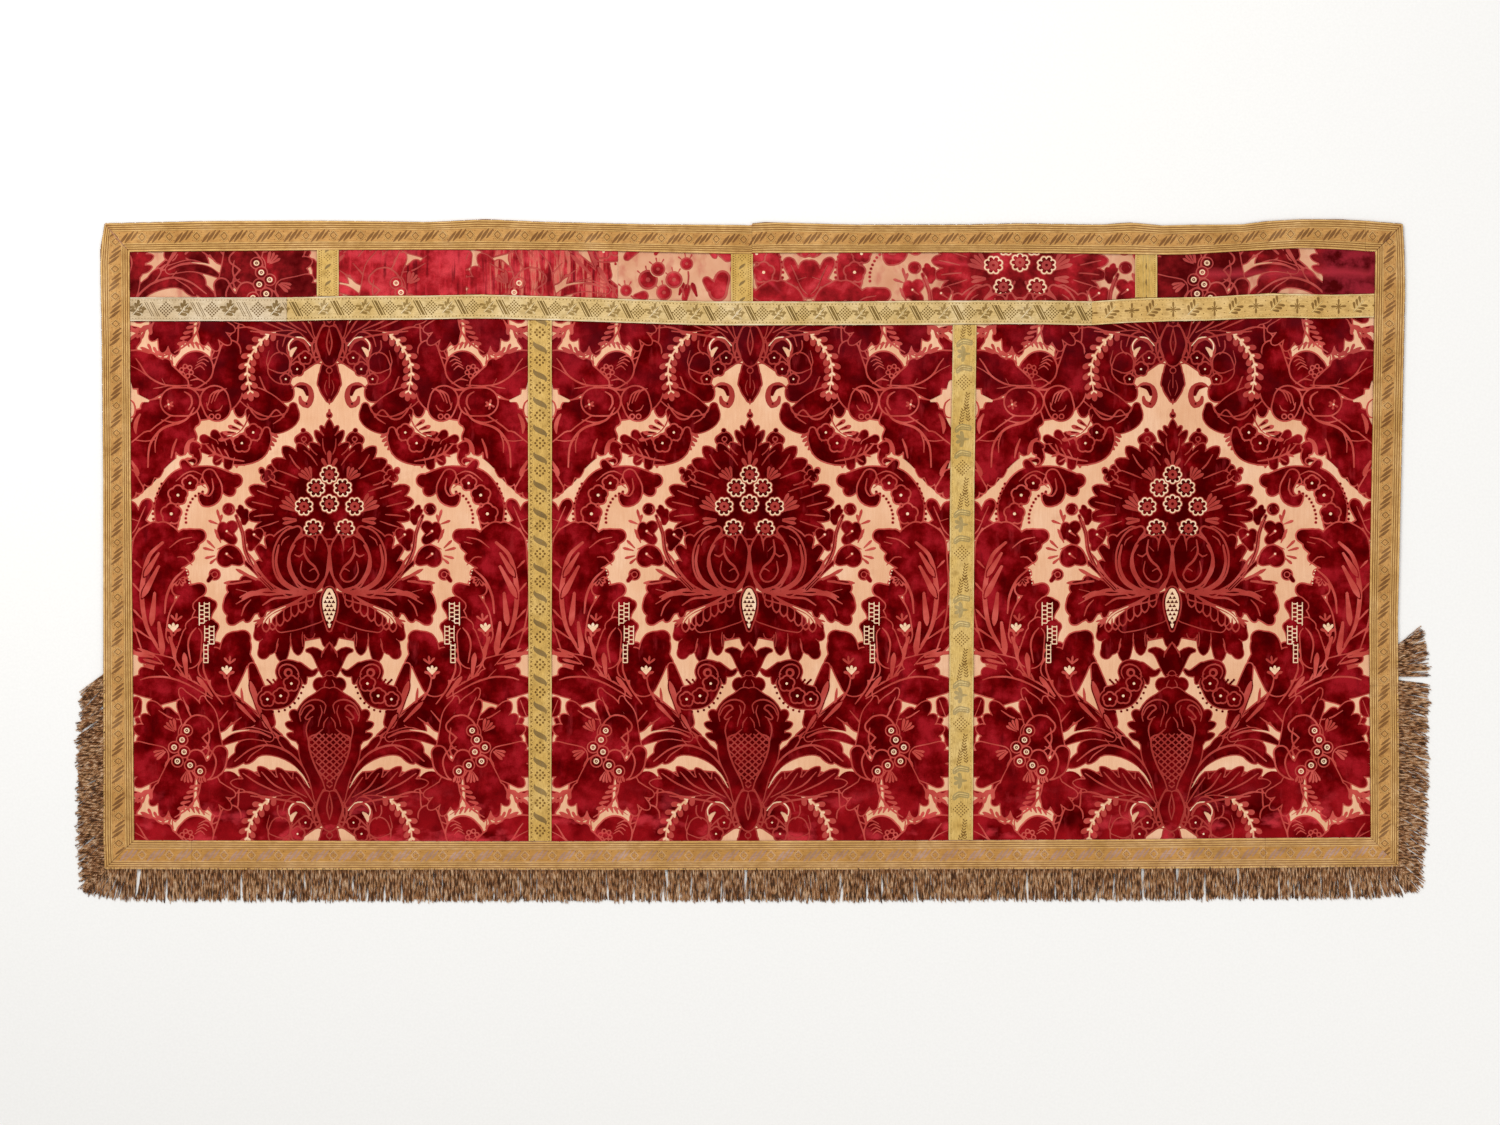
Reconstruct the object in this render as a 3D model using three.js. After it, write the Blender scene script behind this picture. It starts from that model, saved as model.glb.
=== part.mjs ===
// Antique altar cloth of cut velvet, lying flat and face up on its rest plane.
// Units are millimetres. X runs to the right along the cloth, Y up its face, Z out of the face.
// The origin lies on the underside of the middle velvet panel, on that panel's centre line.
import * as THREE from "three";

// Thickness of each layer, and the gaps that part neighbouring pieces
const VELVET_THICK = 2.0;
const GALLOON_BASE = 2.3;
const GALLOON_THICK = 1.0;
const HEADING_THICK = 1.8;
const SEAM_GAP = 0.3;
const MITRE_GAP = 0.45;

// How far the velvet stops inside the border's outer edge: bare edge, and edge with a fringe
const BARE_INSET = 1.5;
const FRINGE_INSET = 10.4;

// The fringe: a narrow woven heading under the border, with locks of cord hanging from it
const HEADING_INSET = 2.0;
const HEADING_WIDTH = 8.0;
const LOCK_PITCH = 10.2;
const LOCK_LENGTH = 49.0;
const LOCK_ROOT_WIDTH = 6.2;
const LOCK_WIDTH = 5.6;
const LOCK_HEIGHT = 2.6;
const LOCK_TIP_WIDTH = 3.0;
const LOCK_TIP_HEIGHT = 1.2;

// Cross galloon between the narrow top band and the three panels
const CROSS_WIDTH = 36.0;

// Where the border's lengths of galloon meet
const TOP_JOINS = { middle: 1.5, corner: 921 };
const BOTTOM_JOINS = { left: -838.5, right: 771 };
const RIGHT_JOINS = { upper: -185, lower: -392 };

// Where the cross galloon's three lengths meet
const CROSS_JOINS = { left: -696, right: 511 };

// The top border: height of its outer and inner edge at each place along it
const TOP_BORDER = [
  { x: -990, outer: 508.0, inner: 465.2 },
  { x: -969, outer: 508.5, inner: 465.4 },
  { x: -826, outer: 511.5, inner: 466.9 },
  { x: -639, outer: 512.3, inner: 468.8 },
  { x: -481, outer: 510.5, inner: 468.8 },
  { x: -399, outer: 514.8, inner: 468.8 },
  { x: -309, outer: 510.8, inner: 468.8 },
  { x: -151, outer: 507.0, inner: 465.8 },
  { x: -16, outer: 505.8, inner: 462.8 },
  { x: 1.4, outer: 505.0, inner: 463.0 },
  { x: 1.6, outer: 508.6, inner: 463.6 },
  { x: 21, outer: 510.3, inner: 464.3 },
  { x: 148, outer: 506.6, inner: 464.6 },
  { x: 321, outer: 506.7, inner: 464.9 },
  { x: 403, outer: 508.5, inner: 464.1 },
  { x: 523, outer: 506.3, inner: 462.8 },
  { x: 568, outer: 509.6, inner: 462.3 },
  { x: 628, outer: 504.2, inner: 461.5 },
  { x: 658, outer: 506.3, inner: 462.3 },
  { x: 733, outer: 506.3, inner: 467.0 },
  { x: 771, outer: 511.5, inner: 469.1 },
  { x: 823, outer: 514.5, inner: 471.8 },
  { x: 883, outer: 514.5, inner: 469.4 },
  { x: 921, outer: 512.3, inner: 466.8 },
  { x: 977, outer: 507.8, inner: 464.6 },
  { x: 990, outer: 507.4, inner: 464.2 },
];

// The bottom border: height of its inner and outer edge at each place along it
const BOTTOM_BORDER = [
  { x: -990, outer: -459.4, inner: -416.2 },
  { x: -969, outer: -459.8, inner: -416.4 },
  { x: -700, outer: -460.6, inner: -417.4 },
  { x: -300, outer: -461.0, inner: -418.0 },
  { x: 150, outer: -460.4, inner: -417.2 },
  { x: 560, outer: -459.2, inner: -415.2 },
  { x: 771, outer: -457.6, inner: -413.2 },
  { x: 971, outer: -456.3, inner: -411.8 },
  { x: 990, outer: -456.0, inner: -411.6 },
];

// The side borders: where their outer and inner edges lie at each height
const LEFT_BORDER = [
  { y: 520, outer: -969.0, inner: -931.5 },
  { y: 508, outer: -969.0, inner: -931.5 },
  { y: 469, outer: -975.6, inner: -931.5 },
  { y: 409, outer: -975.0, inner: -931.2 },
  { y: 341, outer: -973.5, inner: -930.8 },
  { y: 124, outer: -971.3, inner: -929.7 },
  { y: -116, outer: -971.0, inner: -927.3 },
  { y: -416, outer: -971.3, inner: -924.5 },
  { y: -470, outer: -968.8, inner: -924.2 },
];
const RIGHT_BORDER = [
  { y: 520, outer: 977.0, inner: 936.4 },
  { y: 508, outer: 977.1, inner: 936.2 },
  { y: 466, outer: 979.6, inner: 936.0 },
  { y: 409, outer: 980.7, inner: 935.0 },
  { y: 160, outer: 975.4, inner: 931.0 },
  { y: -86, outer: 969.6, inner: 927.0 },
  { y: -296, outer: 972.0, inner: 928.2 },
  { y: -409, outer: 971.3, inner: 929.0 },
  { y: -470, outer: 971.0, inner: 929.2 },
];

// The cross galloon's upper edge
const CROSS_EDGE = [
  { x: -940, top: 397.7 },
  { x: -699, top: 397.5 },
  { x: -609, top: 399.8 },
  { x: -511, top: 399.8 },
  { x: -406, top: 402.0 },
  { x: -294, top: 399.0 },
  { x: -151, top: 393.8 },
  { x: -76, top: 391.5 },
  { x: 133, top: 391.5 },
  { x: 351, top: 393.0 },
  { x: 448, top: 393.0 },
  { x: 508, top: 391.5 },
  { x: 583, top: 396.6 },
  { x: 696, top: 398.5 },
  { x: 778, top: 404.0 },
  { x: 853, top: 401.3 },
  { x: 945, top: 403.5 },
];

// The long galloons between the panels: left and right edge at the top, a third down, and the foot
const LONG_GALLOONS = [
  {
    name: "panel_galloon_left",
    left: [-334.6, -334.0, -333.2],
    right: [-298.6, -298.4, -299.2],
  },
  {
    name: "panel_galloon_right",
    left: [303.0, 298.2, 296.2],
    right: [338.2, 334.8, 332.6],
  },
];

// The short galloons in the top band
const SHORT_GALLOONS = [
  { name: "band_galloon_left", left: -651, right: -618 },
  { name: "band_galloon_middle", left: -30, right: 3 },
  { name: "band_galloon_right", left: 576, right: 609 },
];

// Seams of the velvet under the galloons: between the panels, and between them and the top band
const PANEL_SEAMS = { left: -316, right: 317 };
const CROSS_SEAM = 379;
const PANEL_FOOT = -448;
const BAND_SCRAPS = [
  { name: "band_velvet_left", from: null, to: -634.5, columns: 15 },
  { name: "band_velvet_second", from: -634.5, to: -199.5, columns: 20 },
  { name: "band_velvet_third", from: -199.5, to: -13.5, columns: 8 },
  { name: "band_velvet_fourth", from: -13.5, to: 592.5, columns: 27 },
  { name: "band_velvet_right", from: 592.5, to: null, columns: 17 },
];

// Soft creases and puckers of the velvet, each a low ridge along a line between the galloons
const CREASES = [
  { x0: 652, y0: 434, x1: 700, y1: 436, height: 3.4, reach: 24 },
  { x0: 720, y0: 438, x1: 900, y1: 437, height: 3.8, reach: 25 },
  { x0: 500, y0: 430, x1: 530, y1: 431, height: 2.6, reach: 24 },
  { x0: 224, y0: 438, x1: 372, y1: 424, height: 3.0, reach: 22 },
  { x0: 60, y0: 434, x1: 170, y1: 428, height: 2.2, reach: 24 },
  { x0: -372, y0: 438, x1: -366, y1: 428, height: 2.2, reach: 22 },
  { x0: -318, y0: 440, x1: -312, y1: 430, height: 2.6, reach: 22 },
  { x0: -262, y0: 438, x1: -256, y1: 430, height: 2.4, reach: 22 },
  { x0: -540, y0: 436, x1: -450, y1: 432, height: 2.0, reach: 24 },
  { x0: -880, y0: 434, x1: -760, y1: 431, height: 1.8, reach: 25 },
  { x0: -150, y0: 430, x1: -90, y1: 427, height: 1.6, reach: 24 },
  { x0: -870, y0: 290, x1: -700, y1: 300, height: 1.4, reach: 50 },
  { x0: -560, y0: -330, x1: -420, y1: -345, height: 1.2, reach: 55 },
  { x0: -220, y0: 285, x1: -120, y1: 292, height: 1.4, reach: 50 },
  { x0: 110, y0: -340, x1: 220, y1: -330, height: 1.2, reach: 55 },
  { x0: 420, y0: 292, x1: 520, y1: 288, height: 1.4, reach: 50 },
  { x0: 780, y0: 285, x1: 860, y1: 296, height: 1.6, reach: 50 },
  { x0: 470, y0: -335, x1: 640, y1: -330, height: 1.2, reach: 55 },
];

// Heights at which the large panels bend, about their creases and clear of the galloons
const CREASE_ROWS = [350, 325, 310, 295, 275, 250, -285, -310, -332, -352, -380, -405];

// Which way the locks hang, in degrees from +X, by place along each side, and the bare places
const BOTTOM_HANG = [
  { at: -968, angle: 232 },
  { at: -950, angle: 246 },
  { at: -925, angle: 258 },
  { at: -880, angle: 266 },
  { at: -600, angle: 268 },
  { at: -300, angle: 271 },
  { at: 0, angle: 269 },
  { at: 300, angle: 272 },
  { at: 600, angle: 270 },
  { at: 850, angle: 273 },
  { at: 925, angle: 281 },
  { at: 950, angle: 292 },
  { at: 968, angle: 304 },
];
const LEFT_HANG = [
  { at: -164, angle: 186 },
  { at: -200, angle: 206 },
  { at: -240, angle: 214 },
  { at: -380, angle: 217 },
  { at: -452, angle: 223 },
];
const RIGHT_HANG = [
  { at: -124, angle: 34 },
  { at: -150, angle: 16 },
  { at: -180, angle: -8 },
  { at: -230, angle: -20 },
  { at: -380, angle: -28 },
  { at: -452, angle: -44 },
];
const BOTTOM_BARE = [
  { from: -921, to: -912 },
  { from: -131, to: -123 },
  { from: -11, to: -3 },
  { from: 584, to: 592 },
  { from: 636, to: 644 },
  { from: 726, to: 735 },
];
const LEFT_BARE = [{ from: -218, to: -208 }];
const RIGHT_BARE = [{ from: -178, to: -170 }];
const LEFT_FRINGE_TOP = -164;
const RIGHT_FRINGE_TOP = -124;

const mix = (a, b, t) => a + (b - a) * t;

// Value of one column of a table at a place, straight between its rows
function read(table, key, column, at) {
  const rising = table[table.length - 1][key] > table[0][key];
  const rows = rising ? table : [...table].reverse();
  if (at <= rows[0][key]) return rows[0][column];
  for (let i = 1; i < rows.length; i += 1) {
    const a = rows[i - 1];
    const b = rows[i];
    if (at <= b[key]) {
      return mix(a[column], b[column], (at - a[key]) / (b[key] - a[key]));
    }
  }
  return rows[rows.length - 1][column];
}

const topOuter = (x) => read(TOP_BORDER, "x", "outer", x);
const topInner = (x) => read(TOP_BORDER, "x", "inner", x);
const bottomOuter = (x) => read(BOTTOM_BORDER, "x", "outer", x);
const bottomInner = (x) => read(BOTTOM_BORDER, "x", "inner", x);
const leftOuter = (y) => read(LEFT_BORDER, "y", "outer", y);
const leftInner = (y) => read(LEFT_BORDER, "y", "inner", y);
const rightOuter = (y) => read(RIGHT_BORDER, "y", "outer", y);
const rightInner = (y) => read(RIGHT_BORDER, "y", "inner", y);
const crossTop = (x) => read(CROSS_EDGE, "x", "top", x);
const crossBottom = (x) => crossTop(x) - CROSS_WIDTH;

// Height of the velvet's underside over the rest plane
function lift(x, y) {
  let height = 0;
  for (const c of CREASES) {
    const dx = c.x1 - c.x0;
    const dy = c.y1 - c.y0;
    const along = ((x - c.x0) * dx + (y - c.y0) * dy) / (dx * dx + dy * dy);
    const t = Math.min(1, Math.max(0, along));
    const away = Math.hypot(x - c.x0 - t * dx, y - c.y0 - t * dy) / c.reach;
    if (away < 1) height = Math.max(height, c.height * (1 - away * away) ** 2);
  }
  return height;
}

// Even places from one value to another, with extra ones kept in order
function places(from, to, count, extra = []) {
  const list = [];
  for (let i = 0; i <= count; i += 1) list.push(mix(from, to, i / count));
  const low = Math.min(from, to);
  const high = Math.max(from, to);
  for (const value of extra) {
    const clear = list.every((other) => Math.abs(other - value) > 2);
    if (value > low && value < high && clear) list.push(value);
  }
  return list.sort((a, b) => (to > from ? a - b : b - a));
}

// Keeps a table's own rows as places, so that each drawn edge bends where the cloth does
const rowsOf = (table, key) => table.map((row) => row[key]);

// A thin sheet over a grid of [x, y] points. raise(x, y) is the height of its underside.
function sheet(name, grid, thick, raise, material) {
  const rows = grid.length;
  const columns = grid[0].length;
  const positions = [];
  for (const row of grid) {
    for (const [x, y] of row) positions.push(x, y, raise(x, y) + thick);
  }
  for (const row of grid) {
    for (const [x, y] of row) positions.push(x, y, raise(x, y));
  }
  const under = rows * columns;
  const at = (i, j) => i * columns + j;
  const faces = [];
  const quad = (a, b, c, d) => faces.push([a, b, c], [a, c, d]);
  for (let i = 0; i + 1 < rows; i += 1) {
    for (let j = 0; j + 1 < columns; j += 1) {
      const [a, b, c, d] = [at(i, j), at(i, j + 1), at(i + 1, j + 1), at(i + 1, j)];
      quad(a, b, c, d);
      quad(under + d, under + c, under + b, under + a);
    }
  }
  for (let j = 0; j + 1 < columns; j += 1) {
    const [a, b] = [at(0, j), at(0, j + 1)];
    quad(under + a, under + b, b, a);
    const [c, d] = [at(rows - 1, j), at(rows - 1, j + 1)];
    quad(c, d, under + d, under + c);
  }
  for (let i = 0; i + 1 < rows; i += 1) {
    const [a, b] = [at(i, 0), at(i + 1, 0)];
    quad(a, b, under + b, under + a);
    const [c, d] = [at(i, columns - 1), at(i + 1, columns - 1)];
    quad(under + c, under + d, d, c);
  }
  return solid(name, positions, faces, material);
}

// A mesh of the given faces, turned to face out if they were drawn the other way round
function solid(name, positions, faces, material) {
  let volume = 0;
  const corner = (i) => new THREE.Vector3().fromArray(positions, 3 * i);
  for (const [a, b, c] of faces) volume += corner(a).dot(corner(b).cross(corner(c)));
  const turned = volume < 0 ? faces.map(([a, b, c]) => [a, c, b]) : faces;
  const geometry = new THREE.BufferGeometry();
  geometry.setAttribute("position", new THREE.Float32BufferAttribute(positions, 3));
  geometry.setIndex(turned.flat());
  geometry.computeVertexNormals();
  const mesh = new THREE.Mesh(geometry, material);
  mesh.name = name;
  return mesh;
}

const cloth = (color, roughness) => new THREE.MeshStandardMaterial({ color, roughness });
const flatBase = () => GALLOON_BASE;

// How far the velvet keeps inside a side border: more below the place where the fringe starts
const sideInset = (y, fringeTop) => (y < fringeTop + 2 ? FRINGE_INSET : BARE_INSET);

// The three large velvet panels, each from a seam or border to the next
function velvetPanels() {
  const spans = [
    {
      name: "velvet_panel_left",
      left: (y) => leftOuter(y) + sideInset(y, LEFT_FRINGE_TOP),
      right: () => PANEL_SEAMS.left - SEAM_GAP / 2,
    },
    {
      name: "velvet_panel_middle",
      left: () => PANEL_SEAMS.left + SEAM_GAP / 2,
      right: () => PANEL_SEAMS.right - SEAM_GAP / 2,
    },
    {
      name: "velvet_panel_right",
      left: () => PANEL_SEAMS.right + SEAM_GAP / 2,
      right: (y) => rightOuter(y) - sideInset(y, RIGHT_FRINGE_TOP),
    },
  ];
  return spans.map(({ name, left, right }) => {
    const steps = [LEFT_FRINGE_TOP, RIGHT_FRINGE_TOP].flatMap((y) => [y + 12, y + 1]);
    const top = CROSS_SEAM - SEAM_GAP / 2;
    const heights = places(top, PANEL_FOOT, 10, [...CREASE_ROWS, ...steps]);
    const grid = heights.map((y) => {
      const row = [];
      for (let j = 0; j <= 13; j += 1) {
        const x = mix(left(y), right(y), j / 13);
        const foot = bottomOuter(x) + FRINGE_INSET;
        row.push([x, mix(foot, top, (y - PANEL_FOOT) / (top - PANEL_FOOT))]);
      }
      return row;
    });
    return sheet(name, grid, VELVET_THICK, lift, cloth(0x8e1020, 0.85));
  });
}

// The velvet scraps of the top band
function bandScraps() {
  return BAND_SCRAPS.map(({ name, from, to, columns }) => {
    const grid = [];
    for (let i = 0; i <= 9; i += 1) {
      const row = [];
      for (let j = 0; j <= columns; j += 1) {
        const middle = mix(CROSS_SEAM, topOuter(0), i / 9);
        const start = from === null ? leftOuter(middle) + BARE_INSET : from + SEAM_GAP / 2;
        const end = to === null ? rightOuter(middle) - BARE_INSET : to - SEAM_GAP / 2;
        const x = mix(start, end, j / columns);
        const foot = CROSS_SEAM + SEAM_GAP / 2;
        row.push([x, mix(foot, topOuter(x) - BARE_INSET, i / 9)]);
      }
      grid.push(row);
    }
    return sheet(name, grid, VELVET_THICK, lift, cloth(0xa01828, 0.85));
  });
}

// A strip of galloon between two edges, each a function of the place along it
function strip(name, stations, edgeA, edgeB, material) {
  const grid = [stations.map(edgeA), stations.map(edgeB)];
  return sheet(name, grid, GALLOON_THICK, flatBase, material);
}

// The outer border, mitred at its four corners
function borders() {
  const gold = () => cloth(0xc9a15a, 0.6);
  const corner = {
    left: { outer: leftOuter(508), inner: leftInner(466) },
    right: { outer: rightOuter(508), inner: rightInner(466) },
    footLeft: { outer: leftOuter(-460), inner: leftInner(-416) },
    footRight: { outer: rightOuter(-456), inner: rightInner(-411) },
  };
  const half = SEAM_GAP / 2;
  // A length along X, from x0 to x1 on the outer edge, with mitred ends where the inner edge is shorter
  const alongX = (name, table, ends) => {
    const { outer, inner } = ends;
    const extra = rowsOf(table, "x");
    const stations = places(outer[0], outer[1], 2, extra).map(
      (x) => (x - outer[0]) / (outer[1] - outer[0]),
    );
    const edge = (column, span) => (t) => {
      const x = mix(span[0], span[1], t);
      return [x, read(table, "x", column, x)];
    };
    return strip(name, stations, edge("outer", outer), edge("inner", inner), gold());
  };
  const alongY = (name, table, ends) => {
    const { outer, inner } = ends;
    const extra = rowsOf(table, "y");
    const stations = places(outer[0], outer[1], 2, extra).map(
      (y) => (y - outer[0]) / (outer[1] - outer[0]),
    );
    const edge = (column, span) => (t) => {
      const y = mix(span[0], span[1], t);
      return [read(table, "y", column, y), y];
    };
    return strip(name, stations, edge("outer", outer), edge("inner", inner), gold());
  };
  const mid = TOP_JOINS.middle;
  const end = TOP_JOINS.corner;
  const { left: footA, right: footB } = BOTTOM_JOINS;
  const { upper, lower } = RIGHT_JOINS;
  const topLeft = { outer: topOuter(corner.left.outer), inner: topInner(corner.left.inner) };
  const topRight = { outer: topOuter(corner.right.outer), inner: topInner(corner.right.inner) };
  const footLeft = {
    outer: bottomOuter(corner.footLeft.outer),
    inner: bottomInner(corner.footLeft.inner),
  };
  const footRight = {
    outer: bottomOuter(corner.footRight.outer),
    inner: bottomInner(corner.footRight.inner),
  };
  return [
    alongX("border_top_left", TOP_BORDER, {
      outer: [corner.left.outer, mid - half],
      inner: [corner.left.inner, mid - half],
    }),
    alongX("border_top_right", TOP_BORDER, {
      outer: [mid + half, end - half],
      inner: [mid + half, end - half],
    }),
    alongX("border_top_corner", TOP_BORDER, {
      outer: [end + half, corner.right.outer],
      inner: [end + half, corner.right.inner],
    }),
    alongX("border_bottom_left", BOTTOM_BORDER, {
      outer: [corner.footLeft.outer, footA - half],
      inner: [corner.footLeft.inner, footA - half],
    }),
    alongX("border_bottom_middle", BOTTOM_BORDER, {
      outer: [footA + half, footB - half],
      inner: [footA + half, footB - half],
    }),
    alongX("border_bottom_right", BOTTOM_BORDER, {
      outer: [footB + half, corner.footRight.outer],
      inner: [footB + half, corner.footRight.inner],
    }),
    alongY("border_left", LEFT_BORDER, {
      outer: [topLeft.outer - MITRE_GAP, footLeft.outer + MITRE_GAP],
      inner: [topLeft.inner - MITRE_GAP, footLeft.inner + MITRE_GAP],
    }),
    alongY("border_right_upper", RIGHT_BORDER, {
      outer: [topRight.outer - MITRE_GAP, upper + half],
      inner: [topRight.inner - MITRE_GAP, upper + half],
    }),
    alongY("border_right_middle", RIGHT_BORDER, {
      outer: [upper - half, lower + half],
      inner: [upper - half, lower + half],
    }),
    alongY("border_right_lower", RIGHT_BORDER, {
      outer: [lower - half, footRight.outer + MITRE_GAP],
      inner: [lower - half, footRight.inner + MITRE_GAP],
    }),
  ];
}

// The galloon across the cloth, in its three lengths
function crossGalloons() {
  const half = SEAM_GAP / 2;
  const joins = [null, CROSS_JOINS.left, CROSS_JOINS.right, null];
  const names = ["cross_galloon_left", "cross_galloon_middle", "cross_galloon_right"];
  const colors = [0xdccfa5, 0xd6c878, 0xdcc36e];
  return names.map((name, i) => {
    const edge = (pick, start, finish) => (t) => {
      const x = mix(start, finish, t);
      return [x, pick(x)];
    };
    const span = (y) => [
      joins[i] === null ? leftInner(y) + SEAM_GAP : joins[i] + half,
      joins[i + 1] === null ? rightInner(y) - SEAM_GAP : joins[i + 1] - half,
    ];
    const above = span(398);
    const below = span(362);
    const stations = places(above[0], above[1], 2, rowsOf(CROSS_EDGE, "x")).map(
      (x) => (x - above[0]) / (above[1] - above[0]),
    );
    return strip(
      name,
      stations,
      edge(crossTop, ...above),
      edge(crossBottom, ...below),
      cloth(colors[i], 0.65),
    );
  });
}

// The short galloons of the top band and the long ones between the panels
function uprightGalloons() {
  const short = SHORT_GALLOONS.map(({ name, left, right }) => {
    const across = places(left, right, 8);
    const foot = Math.max(...across.map(crossTop)) + SEAM_GAP;
    const top = Math.min(...across.map(topInner)) - SEAM_GAP;
    const edge = (x) => (t) => [x, mix(foot, top, t)];
    return strip(name, [0, 0.5, 1], edge(left), edge(right), cloth(0xdcc36e, 0.65));
  });
  const long = LONG_GALLOONS.map(({ name, left, right }) => {
    const across = places(left[0], right[0], 8);
    const top = Math.min(...across.map(crossBottom)) - SEAM_GAP;
    const foot = Math.max(...across.map(bottomInner)) + SEAM_GAP;
    const edge = ([start, third, end]) => (t) => {
      const x = t < 0.33 ? mix(start, third, t / 0.33) : mix(third, end, (t - 0.33) / 0.67);
      return [x, mix(top, foot, t)];
    };
    const stations = [0, 0.16, 0.33, 0.55, 0.78, 1];
    return strip(name, stations, edge(left), edge(right), cloth(0xdcc36e, 0.65));
  });
  return [...short, ...long];
}

// One length of fringe. path(s, inset) is the [x, y] of a point that far inside the border's edge.
function fringe(name, from, to, path, hang, bare) {
  const positions = [];
  const faces = [];
  const point = (x, y, z) => positions.push(x, y, z) / 3 - 1;
  const quad = (a, b, c, d) => faces.push([a, b, c], [a, c, d]);
  const rising = to > from ? 1 : -1;
  const count = Math.floor((Math.abs(to - from) - 2) / LOCK_PITCH);
  const roots = [];
  for (let i = 0; i < count; i += 1) {
    const s = from + rising * (LOCK_PITCH * (i + 0.5) + 1);
    if (bare.every((gap) => s < gap.from || s > gap.to)) roots.push(s);
  }
  const half = (LOCK_ROOT_WIDTH / 2) * rising;
  const stations = [from, ...roots.flatMap((s) => [s - half, s + half]), to];
  const outer = stations.map((s) => {
    const [x, y] = path(s, HEADING_INSET);
    return { s, low: point(x, y, 0), high: point(x, y, HEADING_THICK) };
  });
  const innerCount = 8;
  const inner = places(from, to, innerCount).map((s) => {
    const [x, y] = path(s, HEADING_INSET + HEADING_WIDTH);
    return { s, low: point(x, y, 0), high: point(x, y, HEADING_THICK) };
  });
  // Top and underside of the heading, zipped between its two edges
  let i = 0;
  let j = 0;
  while (i + 1 < outer.length || j + 1 < inner.length) {
    const outerNext = i + 1 < outer.length ? Math.abs(outer[i + 1].s - from) : Infinity;
    const innerNext = j + 1 < inner.length ? Math.abs(inner[j + 1].s - from) : Infinity;
    if (outerNext <= innerNext) {
      faces.push([outer[i].high, outer[i + 1].high, inner[j].high]);
      faces.push([outer[i + 1].low, outer[i].low, inner[j].low]);
      i += 1;
    } else {
      faces.push([outer[i].high, inner[j + 1].high, inner[j].high]);
      faces.push([outer[i].low, inner[j].low, inner[j + 1].low]);
      j += 1;
    }
  }
  for (j = 0; j + 1 < inner.length; j += 1) {
    quad(inner[j].low, inner[j].high, inner[j + 1].high, inner[j + 1].low);
  }
  quad(outer[0].low, outer[0].high, inner[0].high, inner[0].low);
  const last = outer[outer.length - 1];
  const lastIn = inner[inner.length - 1];
  quad(lastIn.low, lastIn.high, last.high, last.low);
  for (let k = 0; k + 1 < outer.length; k += 2) {
    const [a, b] = [outer[k], outer[k + 1]];
    quad(a.low, b.low, b.high, a.high);
  }
  // Each lock runs out from its root as a tapering, slightly bent bar that rests on the floor
  roots.forEach((s, n) => {
    const a = outer[1 + 2 * n];
    const b = outer[2 + 2 * n];
    const sway = 1.2 * Math.sin(2.4 * n) + 0.6 * Math.sin(0.7 * n + 1);
    const angle = ((read(hang, "at", "angle", s) + sway) * Math.PI) / 180;
    const bend = 0.05 * Math.sin(0.9 * n + 2);
    const length = LOCK_LENGTH + 2.6 * Math.sin(1.7 * n) + 1.6 * Math.sin(0.31 * n);
    const [x0, y0] = path(s, HEADING_INSET);
    const ring = (reach, turn, width, height) => {
      const direction = angle + turn;
      const [cx, cy] = [x0 + reach * Math.cos(direction), y0 + reach * Math.sin(direction)];
      const [nx, ny] = [Math.sin(direction), -Math.cos(direction)];
      const side = (w, z) => point(cx + nx * w * 0.5, cy + ny * w * 0.5, z);
      return [side(-width, 0), side(width, 0), side(width * 0.62, height), side(-width * 0.62, height)];
    };
    const middle = ring(length * 0.5, bend, LOCK_WIDTH, LOCK_HEIGHT);
    const tip = ring(length, -bend * 0.4, LOCK_TIP_WIDTH, LOCK_TIP_HEIGHT);
    const root = [a.low, b.low, b.high, a.high];
    const facing = sideOf(positions, a.low, b.low, middle);
    const rings = facing ? [root, middle, tip] : [root, swapped(middle), swapped(tip)];
    for (let r = 0; r < 2; r += 1) {
      for (let k = 0; k < 4; k += 1) {
        const m = (k + 1) % 4;
        quad(rings[r][k], rings[r + 1][k], rings[r + 1][m], rings[r][m]);
      }
    }
    const [p, q, u, v] = rings[2];
    quad(p, v, u, q);
  });
  return solid(name, positions, oriented(faces), cloth(0x7a5a3c, 0.7));
}

// Whether a ring's first corner lies on the side of the root's first corner
function sideOf(positions, a, b, ring) {
  const at = (k) => [positions[3 * k], positions[3 * k + 1]];
  const [p, q, r, s] = [at(a), at(b), at(ring[0]), at(ring[1])];
  return (q[0] - p[0]) * (s[0] - r[0]) + (q[1] - p[1]) * (s[1] - r[1]) > 0;
}

const swapped = ([a, b, c, d]) => [b, a, d, c];

// Turns faces so that each shared edge runs one way in one face and back in the other
function oriented(faces) {
  const byEdge = new Map();
  faces.forEach((face, f) => {
    face.forEach((a, k) => {
      const b = face[(k + 1) % 3];
      const key = a < b ? `${a} ${b}` : `${b} ${a}`;
      if (!byEdge.has(key)) byEdge.set(key, []);
      byEdge.get(key).push(f);
    });
  });
  const runs = (face, a, b) => face.some((v, k) => v === a && face[(k + 1) % 3] === b);
  const done = new Array(faces.length).fill(false);
  const result = faces.map((face) => [...face]);
  const queue = [0];
  done[0] = true;
  while (queue.length) {
    const f = queue.pop();
    const face = result[f];
    for (let k = 0; k < 3; k += 1) {
      const [a, b] = [face[k], face[(k + 1) % 3]];
      const key = a < b ? `${a} ${b}` : `${b} ${a}`;
      for (const g of byEdge.get(key)) {
        if (done[g]) continue;
        if (runs(result[g], a, b)) result[g].reverse();
        done[g] = true;
        queue.push(g);
      }
    }
  }
  return result;
}

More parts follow.
